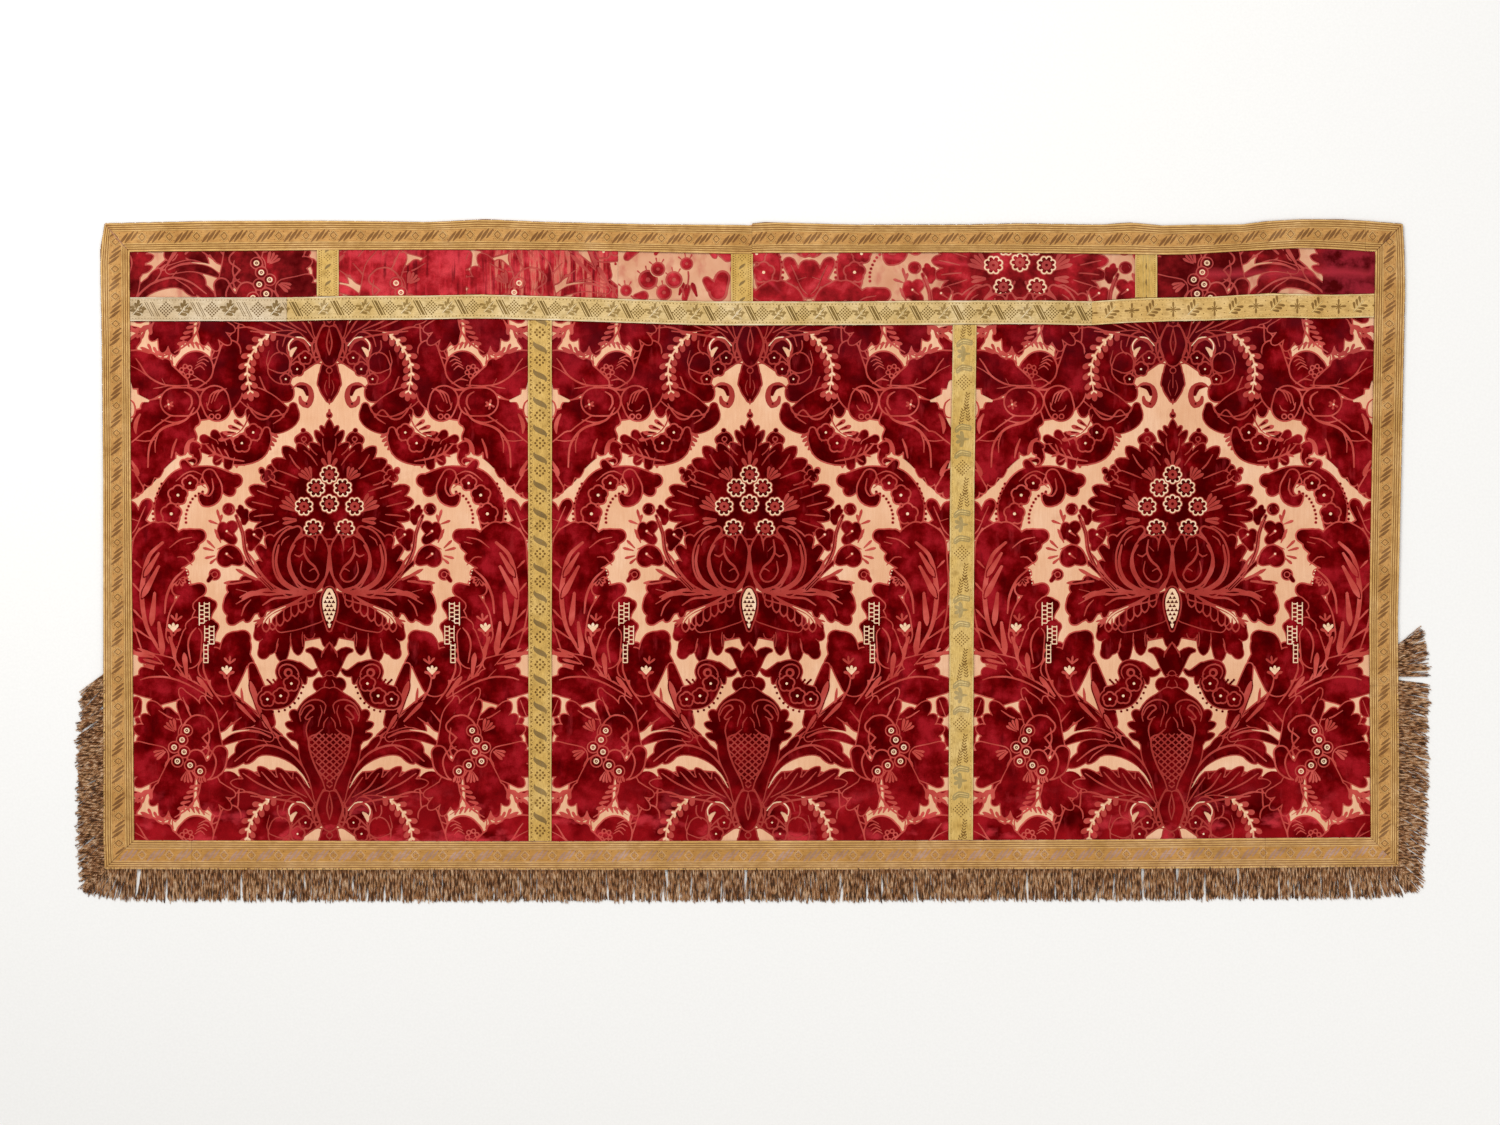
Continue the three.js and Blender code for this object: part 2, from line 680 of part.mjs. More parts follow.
// The fringe along the foot of the cloth and up both of its sides
function fringes() {
  const foot = (x) => bottomOuter(x) + HEADING_INSET + HEADING_WIDTH + SEAM_GAP;
  const alongFoot = (x, inset) => [x, bottomOuter(x) + inset];
  const alongLeft = (y, inset) => [leftOuter(y) + inset, y];
  const alongRight = (y, inset) => [rightOuter(y) - inset, y];
  const leftEnd = leftOuter(-460) + HEADING_INSET;
  const rightEnd = rightOuter(-456) - HEADING_INSET;
  return [
    fringe("fringe_bottom", leftEnd, rightEnd, alongFoot, BOTTOM_HANG, BOTTOM_BARE),
    fringe("fringe_left", LEFT_FRINGE_TOP, foot(leftEnd), alongLeft, LEFT_HANG, LEFT_BARE),
    fringe("fringe_right", RIGHT_FRINGE_TOP, foot(rightEnd), alongRight, RIGHT_HANG, RIGHT_BARE),
  ];
}

const group = new THREE.Group();
group.add(...velvetPanels());
group.add(...bandScraps());
group.add(...borders());
group.add(...crossGalloons());
group.add(...uprightGalloons());
group.add(...fringes());

export default group;
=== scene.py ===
"""Looks for an old altar cloth of crimson cut velvet with gold galloons and a metal-thread fringe.

Lengths are in millimetres until a mesh is made. X runs along the cloth, Y up its face, Z out of it.
"""

import math

import bpy
import mathutils
import numpy as np
from mathutils.geometry import delaunay_2d_cdt
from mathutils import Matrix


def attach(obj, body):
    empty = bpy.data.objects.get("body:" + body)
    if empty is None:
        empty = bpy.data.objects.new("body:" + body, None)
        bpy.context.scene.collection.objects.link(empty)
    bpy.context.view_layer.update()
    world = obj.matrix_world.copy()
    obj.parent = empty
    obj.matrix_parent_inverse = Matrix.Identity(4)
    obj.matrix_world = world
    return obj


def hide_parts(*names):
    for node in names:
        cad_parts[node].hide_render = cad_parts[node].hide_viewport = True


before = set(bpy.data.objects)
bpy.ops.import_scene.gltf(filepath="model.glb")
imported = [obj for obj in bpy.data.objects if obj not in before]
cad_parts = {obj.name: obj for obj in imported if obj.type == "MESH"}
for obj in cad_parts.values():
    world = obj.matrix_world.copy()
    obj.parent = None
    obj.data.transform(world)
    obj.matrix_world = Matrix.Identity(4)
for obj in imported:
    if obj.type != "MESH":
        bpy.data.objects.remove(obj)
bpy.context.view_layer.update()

MM = 0.001

# The velvet's design: half a repeat, from the mirror line to the seam
HALF_WIDTH = 318.0
FOOT, TOP = -450.0, 382.0
REPEAT = 697.0
STEP = 0.75
RIM, LEAST_RIM = 2.3, 0.3
SEEN_HALF, SEEN_FOOT, SEEN_TOP = 303.0, -426.0, 373.0

# Heights over the cloth's underside, and how far a step leans out
GROUND_HIGH, LOOP_HIGH, PILE_HIGH = 1.0, 1.45, 2.05
SLOPE = 0.4
GALLOON_BASE, GALLOON_LOW, GALLOON_MIDDLE, GALLOON_HIGH = 2.3, 0.75, 0.95, 1.15

# What each face is made of, in the order of a piece's material slots
PILE, LOOP, SATIN, CREAM, BACK = range(5)

# The velvet panel's face before it is fitted to its outline, and the part that is kept at true size
PANEL_HALF, PANEL_FOOT, PANEL_TOP = 336.0, -449.0, 379.0
TRUE_FOOT, TRUE_TOP = -430.0, 372.0
AXIS_FOOT, AXIS_TOP = -418.0, 365.0

# The same for the band: the strip, the part that the galloons leave to be seen, and the true part
BAND_FOOT, BAND_TOP, BAND_CLOTH_TOP = 379.0, 509.0, 510.0
BAND_SEEN_FOOT, BAND_SEEN_TOP = 389.0, 471.0
BAND_TRUE_TOP, BAND_MIDDLE = 475.0, 430.0

# A field's value far from any stroke, how far round its strokes a drawing reaches, the share of a
# line's width that is its greatest radius, and the field's value where a galloon hides the cloth
FAR_OUT = -20.0
BRUSH_MARGIN = 3.0
LINE_SHARE = 0.56
HIDDEN = -5


# Drawing woven figures with soft strokes


class Fabric:
    """Three fields on one grid: cut pile, all that is woven over the ground, and cream thread.

    Each is positive inside what is drawn, and tells how far its edge is.
    """

    def __init__(self, x0, x1, y0, y1, step, shifts):
        self.xs = np.arange(x0, x1 + step, step)
        self.ys = np.arange(y0, y1 + step, step)
        self.shifts = shifts
        shape = (len(self.ys), len(self.xs))
        self.pile = np.full(shape, FAR_OUT, np.float32)
        self.cover = np.full(shape, FAR_OUT, np.float32)
        self.cream = np.full(shape, FAR_OUT, np.float32)

    def windows(self, points, reach):
        """The parts of the grid near the points, for each copy of the repeat that it holds."""
        low = points.min(0) - reach
        high = points.max(0) + reach
        for dx, dy in self.shifts:
            columns = np.searchsorted(self.xs, [low[0] + dx, high[0] + dx])
            rows = np.searchsorted(self.ys, [low[1] + dy, high[1] + dy])
            if columns[1] > columns[0] and rows[1] > rows[0]:
                yield slice(*rows), slice(*columns), dx, dy

    def draw(self, kind, strokes, rim=RIM):
        """Lays the union of the strokes over what is there. A stroke is a list of (x, y, radius)."""
        dense = [smooth(stroke) for stroke in strokes]
        everything = np.vstack(dense)
        reach = everything[:, 2].max() + rim + BRUSH_MARGIN
        for rows, columns, dx, dy in self.windows(everything[:, :2], reach):
            x = self.xs[columns][None, :] - dx
            y = self.ys[rows][:, None] - dy
            field = np.full((y.shape[0], x.shape[1]), FAR_OUT, np.float32)
            for run in dense:
                field = np.maximum(field, brush(x, y, run))
            self.lay(kind, rows, columns, field, rim)

    def lay(self, kind, rows, columns, field, rim):
        """Adds one drawing to the fields. Pile brings a woven rim along, and ground clears what is there."""
        pile = self.pile[rows, columns]
        cover = self.cover[rows, columns]
        cream = self.cream[rows, columns]
        if kind == "cream":
            cream[:] = np.maximum(cream, field)
            return
        cream[:] = np.minimum(cream, -(field + rim) if kind == "pile" else -field)
        if kind == "pile":
            pile[:] = np.maximum(np.minimum(pile, -(field + rim)), field)
            cover[:] = np.maximum(cover, field + max(rim, LEAST_RIM))
            return
        pile[:] = np.minimum(pile, -field)
        cover[:] = np.maximum(cover, field) if kind == "rose" else np.minimum(cover, -field)


def smooth(stroke, piece=4.0):
    """Points of a smooth curve through the stroke's own, with their radii."""
    p = np.array(stroke, float)
    if len(p) == 1:
        return p
    if len(p) == 2:
        ends = np.vstack([p[0], p, p[1]])
    else:
        ends = np.vstack([2 * p[0] - p[1], p, 2 * p[-1] - p[-2]])
    out = []
    for a, b, c, d in zip(ends, ends[1:], ends[2:], ends[3:]):
        count = max(2, int(np.hypot(*(c - b)[:2]) / piece))
        for t in np.arange(count) / count:
            straight = 2 * b + (c - a) * t
            out.append(0.5 * (straight + (2 * a - 5 * b + 4 * c - d) * t**2 + (3 * b - 3 * c + d - a) * t**3))
    out.append(p[-1])
    out = np.array(out)
    out[:, 2] = np.maximum(out[:, 2], 0.05)
    return out


def brush(x, y, line):
    """How far each place lies inside a stroke of changing radius."""
    if len(line) == 1:
        cx, cy, r = line[0]
        return (r - np.hypot(x - cx, y - cy)).astype(np.float32)
    best = np.full(np.broadcast(x, y).shape, FAR_OUT, np.float32)
    for (x0, y0, r0), (x1, y1, r1) in zip(line, line[1:]):
        dx, dy = x1 - x0, y1 - y0
        span = dx * dx + dy * dy + 1e-9
        t = np.clip(((x - x0) * dx + (y - y0) * dy) / span, 0.0, 1.0)
        away = np.hypot(x - x0 - t * dx, y - y0 - t * dy)
        best = np.maximum(best, r0 + (r1 - r0) * t - away)
    return best


def line(points, width, taper=0.6):
    """A thin stroke that swells a little towards its middle."""
    last = max(len(points) - 1, 1)
    full = width * LINE_SHARE
    swell = [taper + (1 - taper) * math.sin(math.pi * i / last) for i in range(len(points))]
    return [(x, y, full * share) for (x, y), share in zip(points, swell)]


def veins(design, *strands):
    """Thin rose lines, each given by its points and its width."""
    design.draw("rose", [line(points, width) for points, width in strands])


def finger(x0, y0, x1, y1, r0, r1, bend=0.0):
    """A lobe that swells from its root to a round end."""
    dx, dy = x1 - x0, y1 - y0
    mx, my = x0 + 0.55 * dx - bend * dy, y0 + 0.55 * dy + bend * dx
    return [
        (x0, y0, r0), (mx, my, r0 + (r1 - r0) * 0.7), (x0 + 0.86 * dx, y0 + 0.86 * dy, r1),
        (x1, y1, r1 * 0.55),
    ]


def petal(x, y, angle, length, width):
    """A small pointed drop, from its root outwards."""
    a = np.radians(angle)
    c, s = np.cos(a), np.sin(a)
    places = [(0.0, 0.22), (0.45, 0.42), (0.8, 0.5), (1.0, 0.16)]
    return [(x + c * length * t, y + s * length * t, width * w) for t, w in places]


def leaflets(design, kind, stem, length, width, lean=40, count=8, sides=(1, -1), start=0.1, rim=0.0):
    """Pairs of drops along a stem given by its points."""
    dense = smooth([(x, y, 1.0) for x, y in stem], 2.0)[:, :2]
    run = np.concatenate([[0], np.cumsum(np.hypot(*np.diff(dense, axis=0).T))])
    for k in range(count):
        at = run[-1] * (start + (1 - start) * k / max(1, count - 1))
        x, y = (np.interp(at, run, dense[:, i]) for i in (0, 1))
        before, after = (np.array([np.interp(at + s, run, dense[:, i]) for i in (0, 1)]) for s in (-2, 2))
        way = np.degrees(np.arctan2(*(after - before)[::-1]))
        for side in sides:
            design.draw(kind, [petal(x, y, way + side * lean, length, width)], rim)


def ring_flower(design, x, y, radius, petals=8, turn=0.0):
    """A rosette with a cream edge, a dark band, a rose middle and a dark eye."""
    around = np.radians(turn + 360 / petals * np.arange(petals))
    edge = [[(x + 0.66 * radius * np.cos(a), y + 0.66 * radius * np.sin(a), 0.34 * radius)] for a in around]
    full = edge + [[(x, y, 0.6 * radius)]]
    design.draw("pile", full, 1.2)
    design.draw("cream", full)
    inner = [[(px, py, r - 2.1)] for ((px, py, r),) in edge] + [[(x, y, 0.58 * radius)]]
    design.draw("pile", inner, 0.0)
    design.draw("rose", [
        [(x + 0.3 * radius * np.cos(a), y + 0.3 * radius * np.sin(a), 0.21 * radius)]
        for a in around
    ])
    design.draw("rose", [[(x, y, 0.34 * radius)]])
    design.draw("pile", [[(x, y, 0.15 * radius)]], 0.0)


def dark_flower(design, x, y, radius, eye=1.5, petals=5, turn=90.0):
    """A dark rosette with a broad rose edge and a cream eye."""
    around = np.radians(turn + 360 / petals * np.arange(petals))
    full = [[(x + 0.52 * radius * np.cos(a), y + 0.52 * radius * np.sin(a), 0.47 * radius)] for a in around]
    design.draw("pile", full + [[(x, y, 0.4 * radius)]], 2.5)
    design.draw("cream", [[(x, y, eye)]])


def bead_row(design, points, count, radius, kind="pile"):
    """Round dots along a curve."""
    dense = smooth([(x, y, 1.0) for x, y in points], 2.0)[:, :2]
    run = np.concatenate([[0], np.cumsum(np.hypot(*np.diff(dense, axis=0).T))])
    for at in np.linspace(0, run[-1], count):
        x, y = (np.interp(at, run, dense[:, i]) for i in (0, 1))
        design.draw(kind, [[(x, y, radius)]], 0.0)


def top_scrolls(d):
    """The dark mass under the sprig, with its hooks and little flowers."""
    d.draw("pile", [
        [(-10, 365, 26), (40, 352, 30), (90, 350, 34), (125, 344, 32), (152, 345, 18)],
        [(60, 330, 22), (95, 300, 26), (118, 278, 24)],
        [(0, 330, 20), (36, 322, 14)],
    ])
    lobes(d, [
        [(96, 300, 20), (98, 270, 14), (80, 262, 10)], finger(92, 292, 64, 250, 15, 14, 0.12),
        finger(128, 300, 134, 224, 13, 10, -0.06),
    ])
    d.draw("pile", [[(126, 250, 10), (112, 246, 16), (92, 236, 16), (72, 224, 12)]], 1.9)
    d.draw("pile", [[
        (54, 234, 5), (56, 218, 10), (72, 208, 12), (92, 206, 12), (112, 214, 9), (120, 226, 5),
    ]], 1.9)
    veins(d, ([
        (68, 218), (80, 229), (93, 216), (106, 216), (116, 226), (123, 238),
    ], 2.6), ([(62, 232), (70, 218), (84, 208)], 2.2))
    d.draw("pile", [[(158, 316, 12), (160, 300, 16), (158, 278, 12)]], 2.2)
    veins(d, ([(140, 332), (150, 318), (166, 309), (178, 304)], 2.2))
    d.draw("pile", [[(74, 300, 14), (76, 288, 15), (72, 278, 9)]], 2.0)
    veins(
        d, ([(26, 322), (34, 346), (56, 354), (74, 342), (78, 322), (70, 312)], 2.2),
        ([(24, 312), (28, 334), (46, 346), (64, 340), (70, 324)], 2.4),
        ([(30, 318), (38, 332), (50, 336), (60, 328), (62, 316), (56, 306)], 5.0),
    )
    d.draw("cream", [line([(28, 325), (38, 336), (52, 337), (61, 326), (58, 312)], 1.9)])
    d.draw("ground", [[(50, 322, 1.5), (56, 316, 3.6), (57, 308, 1.0)]])
    veins(d, ([(57, 308), (58, 292), (72, 284), (90, 290)], 2.0), ([(90, 290), (94, 300), (90, 318)], 1.6))
    dark_flower(d, 36, 307, 9)
    dark_flower(d, 48, 290, 10)
    dark_flower(d, 65, 275, 7.5)
    veins(
        d, ([(3, 356), (6, 330), (10, 308), (17, 300), (23, 310), (15, 338), (12, 356)], 2.0),
        ([(24, 350), (16, 362)], 2.6), ([(40, 362), (60, 358)], 2.0),
        ([(0, 302), (8, 297), (17, 299), (30, 294)], 1.8),
    )


def axis_drop(d):
    """What hangs on the mirror line between the scrolls and the palmette."""
    d.draw("pile", [[(0, 290, 12), (4, 266, 11), (0, 246, 5)], [(8, 280, 7), (12, 268, 5)]])
    d.draw("ground", [[(17, 289, 1.2), (22, 278, 3.4), (27, 266, 1.4)]])
    d.draw("rose", [[(0, 288, 5.2)]])
    d.draw("pile", [[(0, 288, 3.4)]], 0)
    veins(d, ([(0, 282), (0, 262)], 2.2), ([(4, 274), (7, 262), (3, 250)], 1.3))
    d.draw("rose", [[(0, 244, 1.8), (0, 237, 0.8)]])
    d.draw("pile", [[(0, 221, 3.2)]], 2.0)
    d.draw("rose", [[(0, 229, 1.6), (0, 224, 2.5)]])


def curl(d):
    """The small scroll beside the drop."""
    d.draw("rose", [[
        (56, 261, 0.8), (44, 268, 2.6), (31, 262, 4.2), (27, 248, 4.4), (33, 236, 4.6), (42, 240, 3.8),
        (44, 248, 2.2),
    ]])
    d.draw("pile", [[(48, 264, 1.2), (37, 262, 3.4), (33, 252, 2.2)]], 0.4)
    d.draw("pile", [[(34, 238, 1.6)]], 0.2)


def sprig(d):
    """A pale stem that arches over the scrolls, hung with rose leaflets."""
    stem = [
        (14, 338), (34, 352), (58, 357), (78, 351), (96, 338), (110, 322), (120, 304), (123, 284),
        (119, 258),
    ]
    hung = stem[3:]
    d.draw("pile", [[(x, y, 15 if k < 5 else 12) for k, (x, y) in enumerate(hung)]], 0.0)
    veins(d, (stem, 4.6))
    for side, start in ((1, 0.0), (-1, 0.05)):
        leaflets(d, "rose", hung, 14.5, 8.4, 48, 9, (side,), start)
    for side, start in ((1, 0.0), (-1, 0.05)):
        leaflets(d, "ground", hung, 6.0, 3.8, 42, 9, (side,), start)
    d.draw("rose", [petal(119, 258, 262, 15, 8)])
    d.draw("ground", [line(stem, 2.3)])
    leaflets(d, "cream", hung, 5.0, 2.4, 42, 9, (1, -1), 0.02)


def upper_petals(d):
    """Lobes along the top edge, between the sprig and the seam."""
    lobes(d, [
        finger(152, 366, 150, 330, 16, 12), finger(186, 366, 190, 338, 10, 7),
        finger(170, 364, 176, 330, 14, 9),
        finger(150, 360, 164, 324, 12, 9, 0.1),
    ])
    veins(
        d, ([(146, 352), (156, 340), (168, 346), (174, 336)], 2.2),
        ([(160, 336), (172, 332), (178, 322)], 2.0), ([(150, 360), (160, 352)], 1.6),
    )
    d.draw("pile", [
        finger(226, 366, 216, 340, 10, 8), finger(238, 368, 236, 326, 12, 8),
        finger(248, 368, 250, 332, 12, 7),
        finger(258, 370, 264, 346, 9, 6), finger(232, 362, 226, 330, 9, 8),
    ])
    veins(d, ([(207, 356), (212, 340), (224, 330), (232, 318)], 2.4))
    for k in range(5):
        d.draw("rose", [petal(208 + 2.2 * k, 354 - 5.6 * k, 8, 13, 4.8)])
    d.draw("pile", [finger(304, 318, 286, 336, 9, 5), [(302, 300, 6), (298, 316, 7), (293, 330, 4)]])
    stem = [(228, 324), (238, 314), (252, 310), (266, 316)]
    veins(d, ([(232, 318), (236, 308), (234, 298)], 1.8), (stem, 1.8))
    leaflets(d, "rose", stem, 13, 4.8, 38, 5, (1, -1), 0.1)
    d.draw("rose", [petal(266, 316, 20, 18, 5)])
    for x, y, angle in ((274, 352, -20), (280, 352, -62), (286, 352, 4)):
        d.draw("rose", [petal(x, y, angle, 17, 5.6)])
        d.draw("pile", [petal(x + 1, y, angle, 11, 2.8)], 0.0)


def fruits(d):
    """Two round fruits with their rose outlines, and the leaf tips above them."""
    d.draw("pile", [[
        (148, 318, 14), (152, 288, 20), (158, 256, 26), (186, 244, 28), (206, 232, 18),
    ], [(214, 262, 20), (228, 252, 18)]])
    veins(d, ([(180, 318), (196, 328), (214, 330)], 1.3))
    for k in range(5):
        d.draw("rose", [petal(188 + 7.4 * k, 319 + 1.6 * k, 66, 11, 4.8)])
    d.draw("pile", [[(200, 291, 25), (206, 286, 24)]], 2.4)
    for k in range(4):
        veins(d, ([
            (178 + 3 * k, 307 - 6 * k), (186 + 2.5 * k, 310 - 5 * k), (196 + 2 * k, 305 - 5 * k),
        ], 2.0))
    for k in range(6):
        a = np.radians(60 * k + 15)
        x, y = 214 + 7.4 * np.cos(a), 287 + 7.4 * np.sin(a)
        d.draw("rose", [[(x, y, 4.0)]])
        d.draw("pile", [[(x, y, 2.1)]], 0)
    veins(
        d, ([(184, 268), (196, 275), (208, 273)], 2.2), ([(196, 276), (204, 281)], 1.6),
        ([(178, 264), (192, 259), (208, 262), (220, 270)], 3.0),
    )
    d.draw("pile", [[(168, 232, 19), (172, 244, 20)]], 2.4)
    for k in range(3):
        veins(d, ([(154 + 6 * k, 261 - k), (165 + 6 * k, 256 - 2 * k), (172 + 5 * k, 242 - 3 * k)], 2.1))
    for x in (167, 176.5):
        d.draw("rose", [[(x, 219, 4.6)]])
        d.draw("pile", [[(x, 219, 2.5)]], 0)
    veins(d, ([(160, 236), (164, 229), (171, 227)], 1.8), ([(184, 240), (182, 230), (176, 227)], 1.8))


def upper_leaves(d):
    """Large leaves that spread from behind the fruits to the seam."""
    d.draw("pile", [
        [(222, 268, 10), (252, 284, 18), (282, 302, 14), (300, 312, 5)],
        finger(250, 270, 276, 256, 14, 14), finger(265, 278, 297, 274, 15, 13),
        finger(275, 290, 303, 296, 13, 10),
        finger(240, 278, 246, 300, 8, 8), finger(256, 288, 268, 309, 8, 7),
    ])
    veins(
        d, ([(206, 266), (232, 265), (252, 268), (272, 280), (284, 298), (290, 306)], 2.4),
        ([(240, 265), (256, 262), (264, 261)], 1.6), ([(268, 276), (284, 288), (300, 296)], 1.4),
        ([(246, 267), (251, 276)], 1.3),
    )
    d.draw("pile", [
        [(232, 230, 12), (262, 218, 18), (284, 196, 20), (292, 182, 13)],
        finger(256, 236, 276, 232, 9, 9), finger(272, 222, 290, 216, 11, 11),
        finger(280, 204, 298, 190, 12, 9),
    ])
    d.draw("pile", [
        [
            (214, 214, 16), (232, 196, 22), (254, 176, 24), (270, 152, 22), (284, 128, 18),
            (292, 108, 12), (297, 98, 6),
        ],
        finger(206, 222, 200, 210, 8, 6), finger(216, 200, 206, 186, 12, 8),
        finger(222, 190, 222, 166, 12, 8),
        finger(244, 168, 240, 140, 13, 9), finger(258, 150, 256, 128, 12, 8),
        finger(272, 134, 264, 122, 10, 7),
        finger(276, 150, 300, 132, 14, 12), finger(270, 180, 300, 162, 16, 12),
    ])
    veins(d, ([(262, 184), (276, 182), (292, 184)], 1.7))


def flower_crescent(d):
    """The crescent under the bowl leaf, with two flowers and a leafy end."""
    for k in range(11):
        a = k / 10
        x, y = 92 + 8 * a + 50 * a * a, 196 - 52 * a + 12 * a * a
        d.draw("rose", [petal(x, y, 208 + 66 * a, 17, 5.4)])
    d.draw("pile", [
        [(94, 198, 4), (96, 184, 8), (108, 166, 11), (134, 159, 12), (158, 166, 13), (176, 176, 11)],
        [(120, 184, 12), (140, 174, 12)],
    ])
    for lobe in (
        finger(150, 172, 160, 192, 9, 6), finger(164, 176, 173, 195, 9, 6),
        finger(176, 176, 190, 187, 9, 6), finger(180, 170, 195, 172, 8, 5),
        finger(150, 162, 152, 143, 8, 6), finger(164, 166, 169, 150, 8, 6),
    ):
        d.draw("pile", [lobe], 1.4)
    d.draw("pile", [[(134, 164, 7), (158, 168, 8), (178, 174, 5)]], 0.0)
    veins(d, ([(128, 152), (150, 156), (172, 164), (186, 178)], 3.0))
    for x, y, angle in ((150, 157, 60), (160, 160, 58), (170, 164, 66), (158, 158, -30), (168, 163, -18)):
        d.draw("rose", [petal(x, y, angle, 15, 2.8)])
    dark_flower(d, 114, 195, 12.0, 1.8)
    dark_flower(d, 131, 179, 13.0, 1.8)
    stem = [(120, 222), (128, 204), (142, 192), (166, 185)]
    veins(d, (stem, 2.2))
    d.draw("cream", [line([(128, 206), (140, 194), (162, 187)], 1.3)])
    for k in range(4):
        x, y, angle, long = 130 + 5.5 * k, 205 - 5.6 * k, 34 - 16 * k, 15 + 1.5 * k
        d.draw("rose", [petal(x, y, angle, long, 6.6)])
        d.draw("pile", [petal(x + 2, y + 1.2, angle, long * 0.55, 2.8)], 0)


def side_curl(d):
    """The small upright scroll beside the crescent's end."""
    d.draw("pile", [
        [(196, 174, 3), (204, 176, 5), (206, 166, 3.5)],
        [(202, 172, 5), (198, 158, 5), (204, 150, 5.5), (212, 152, 3.5)],
    ])
    d.draw("pile", [finger(204, 152, 218, 148, 4, 3)])


def trefoils(d):
    """The bud and the trefoil that stand in the open ground."""
    d.draw("pile", [[(37, 186, 9), (40, 184, 9)], [(32, 184, 6)], [(45, 184, 6)]])
    d.draw("rose", [[(38, 185, 4.6)]])
    d.draw("pile", [[(38, 185, 2.8)]], 0)
    d.draw("pile", [[(39, 198, 3.0)]], 1.2)
    d.draw("pile", [[(38, 176, 3), (36, 166, 2.6)]], 1.2)
    d.draw("pile", [
        finger(86, 134, 88, 142, 4, 5), finger(86, 130, 82, 126, 5, 6), finger(90, 130, 98, 126, 4, 5),
    ])
    d.draw("pile", [[(102, 139, 3.8)]], 1.0)


def palmette_crown(d):
    """The upper part of the great palmette: a spire and a broad lobed leaf on each side."""
    d.draw("pile", [
        [(60, 60, 24), (78, 80, 26), (76, 98, 20), (56, 104, 20)],
        pointed(82, 60, 110, 49, 17), pointed(88, 74, 121, 68, 19), pointed(90, 88, 124, 91, 20),
        pointed(86, 98, 118, 112, 20), pointed(72, 104, 92, 122, 18), pointed(74, 52, 94, 40, 15),
    ], 2.0)
    d.draw("pile", [
        [(16, 120, 26), (36, 130, 24), (48, 140, 18)],
        pointed(54, 124, 84, 131, 19), pointed(50, 136, 84, 152, 21), pointed(42, 144, 68, 172, 20),
        pointed(30, 150, 46, 177, 17), pointed(18, 150, 27, 170, 13),
    ], 2.0)
    d.draw("pile", [
        [(0, 150, 20), (0, 180, 11), (0, 198, 5)], pointed(2, 190, 0, 212, 10), pointed(6, 176, 20, 196, 11),
        pointed(8, 162, 28, 178, 12), pointed(4, 192, 12, 203, 7),
    ], 2.0)
    d.draw("pile", [
        [(0, 150, 20), (24, 126, 24), (50, 100, 22), (60, 80, 22)],
        [(0, 124, 30), (6, 90, 40), (12, 60, 36)],
    ], 0.0)
    veins(
        d, ([(4, 160), (9, 172), (10, 186)], 1.9), ([(18, 146), (28, 160), (38, 168)], 2.2),
        ([(34, 132), (50, 146), (60, 162)], 2.4), ([(46, 126), (60, 132), (76, 138)], 2.2),
        ([(58, 106), (74, 112), (88, 116)], 2.2), ([(76, 96), (94, 102), (108, 108)], 2.2),
        ([(86, 84), (102, 88), (116, 91)], 2.2), ([(84, 72), (100, 71), (113, 69)], 2.2),
        ([(76, 62), (90, 57), (104, 53)], 2.0),
    )
    d.draw("pile", [[(92, 134, 5), (95, 128, 6)], [(101, 137, 4)], [(86, 128, 3.4)]], 1.6)
    veins(d, ([(80, 118), (86, 124), (92, 130)], 2.2), ([(100, 122), (98, 128)], 1.8))


def palmette_petals(d):
    """The rose petals among the ring flowers."""
    fan(d, 0, 148, (90,), 19, 7)
    fan(d, 3, 142, (60,), 16, 6)
    fan(d, 27, 122, (84, 66, 48, 30), 17, 5.6, 5)
    fan(d, 46, 76, (66, 50, 34, 18), 24, 6.2, 6)
    fan(d, 44, 64, (4, -12), 20, 5.4, 6)
    fan(d, 14, 50, (124, 96), 12, 4.6)
    fan(d, 36, 44, (-4, -24, -44), 18, 5.0, 4)


def ring_flowers(d):
    """The cluster of ring flowers in the palmette's heart."""
    for x, y in ((0, 132), (20, 112), (0, 88), (38, 84), (24, 51)):
        ring_flower(d, x, y, 14.5, 8, 12 * (x % 3))
    dark_flower(d, 47, 31, 8.0, 1.7)


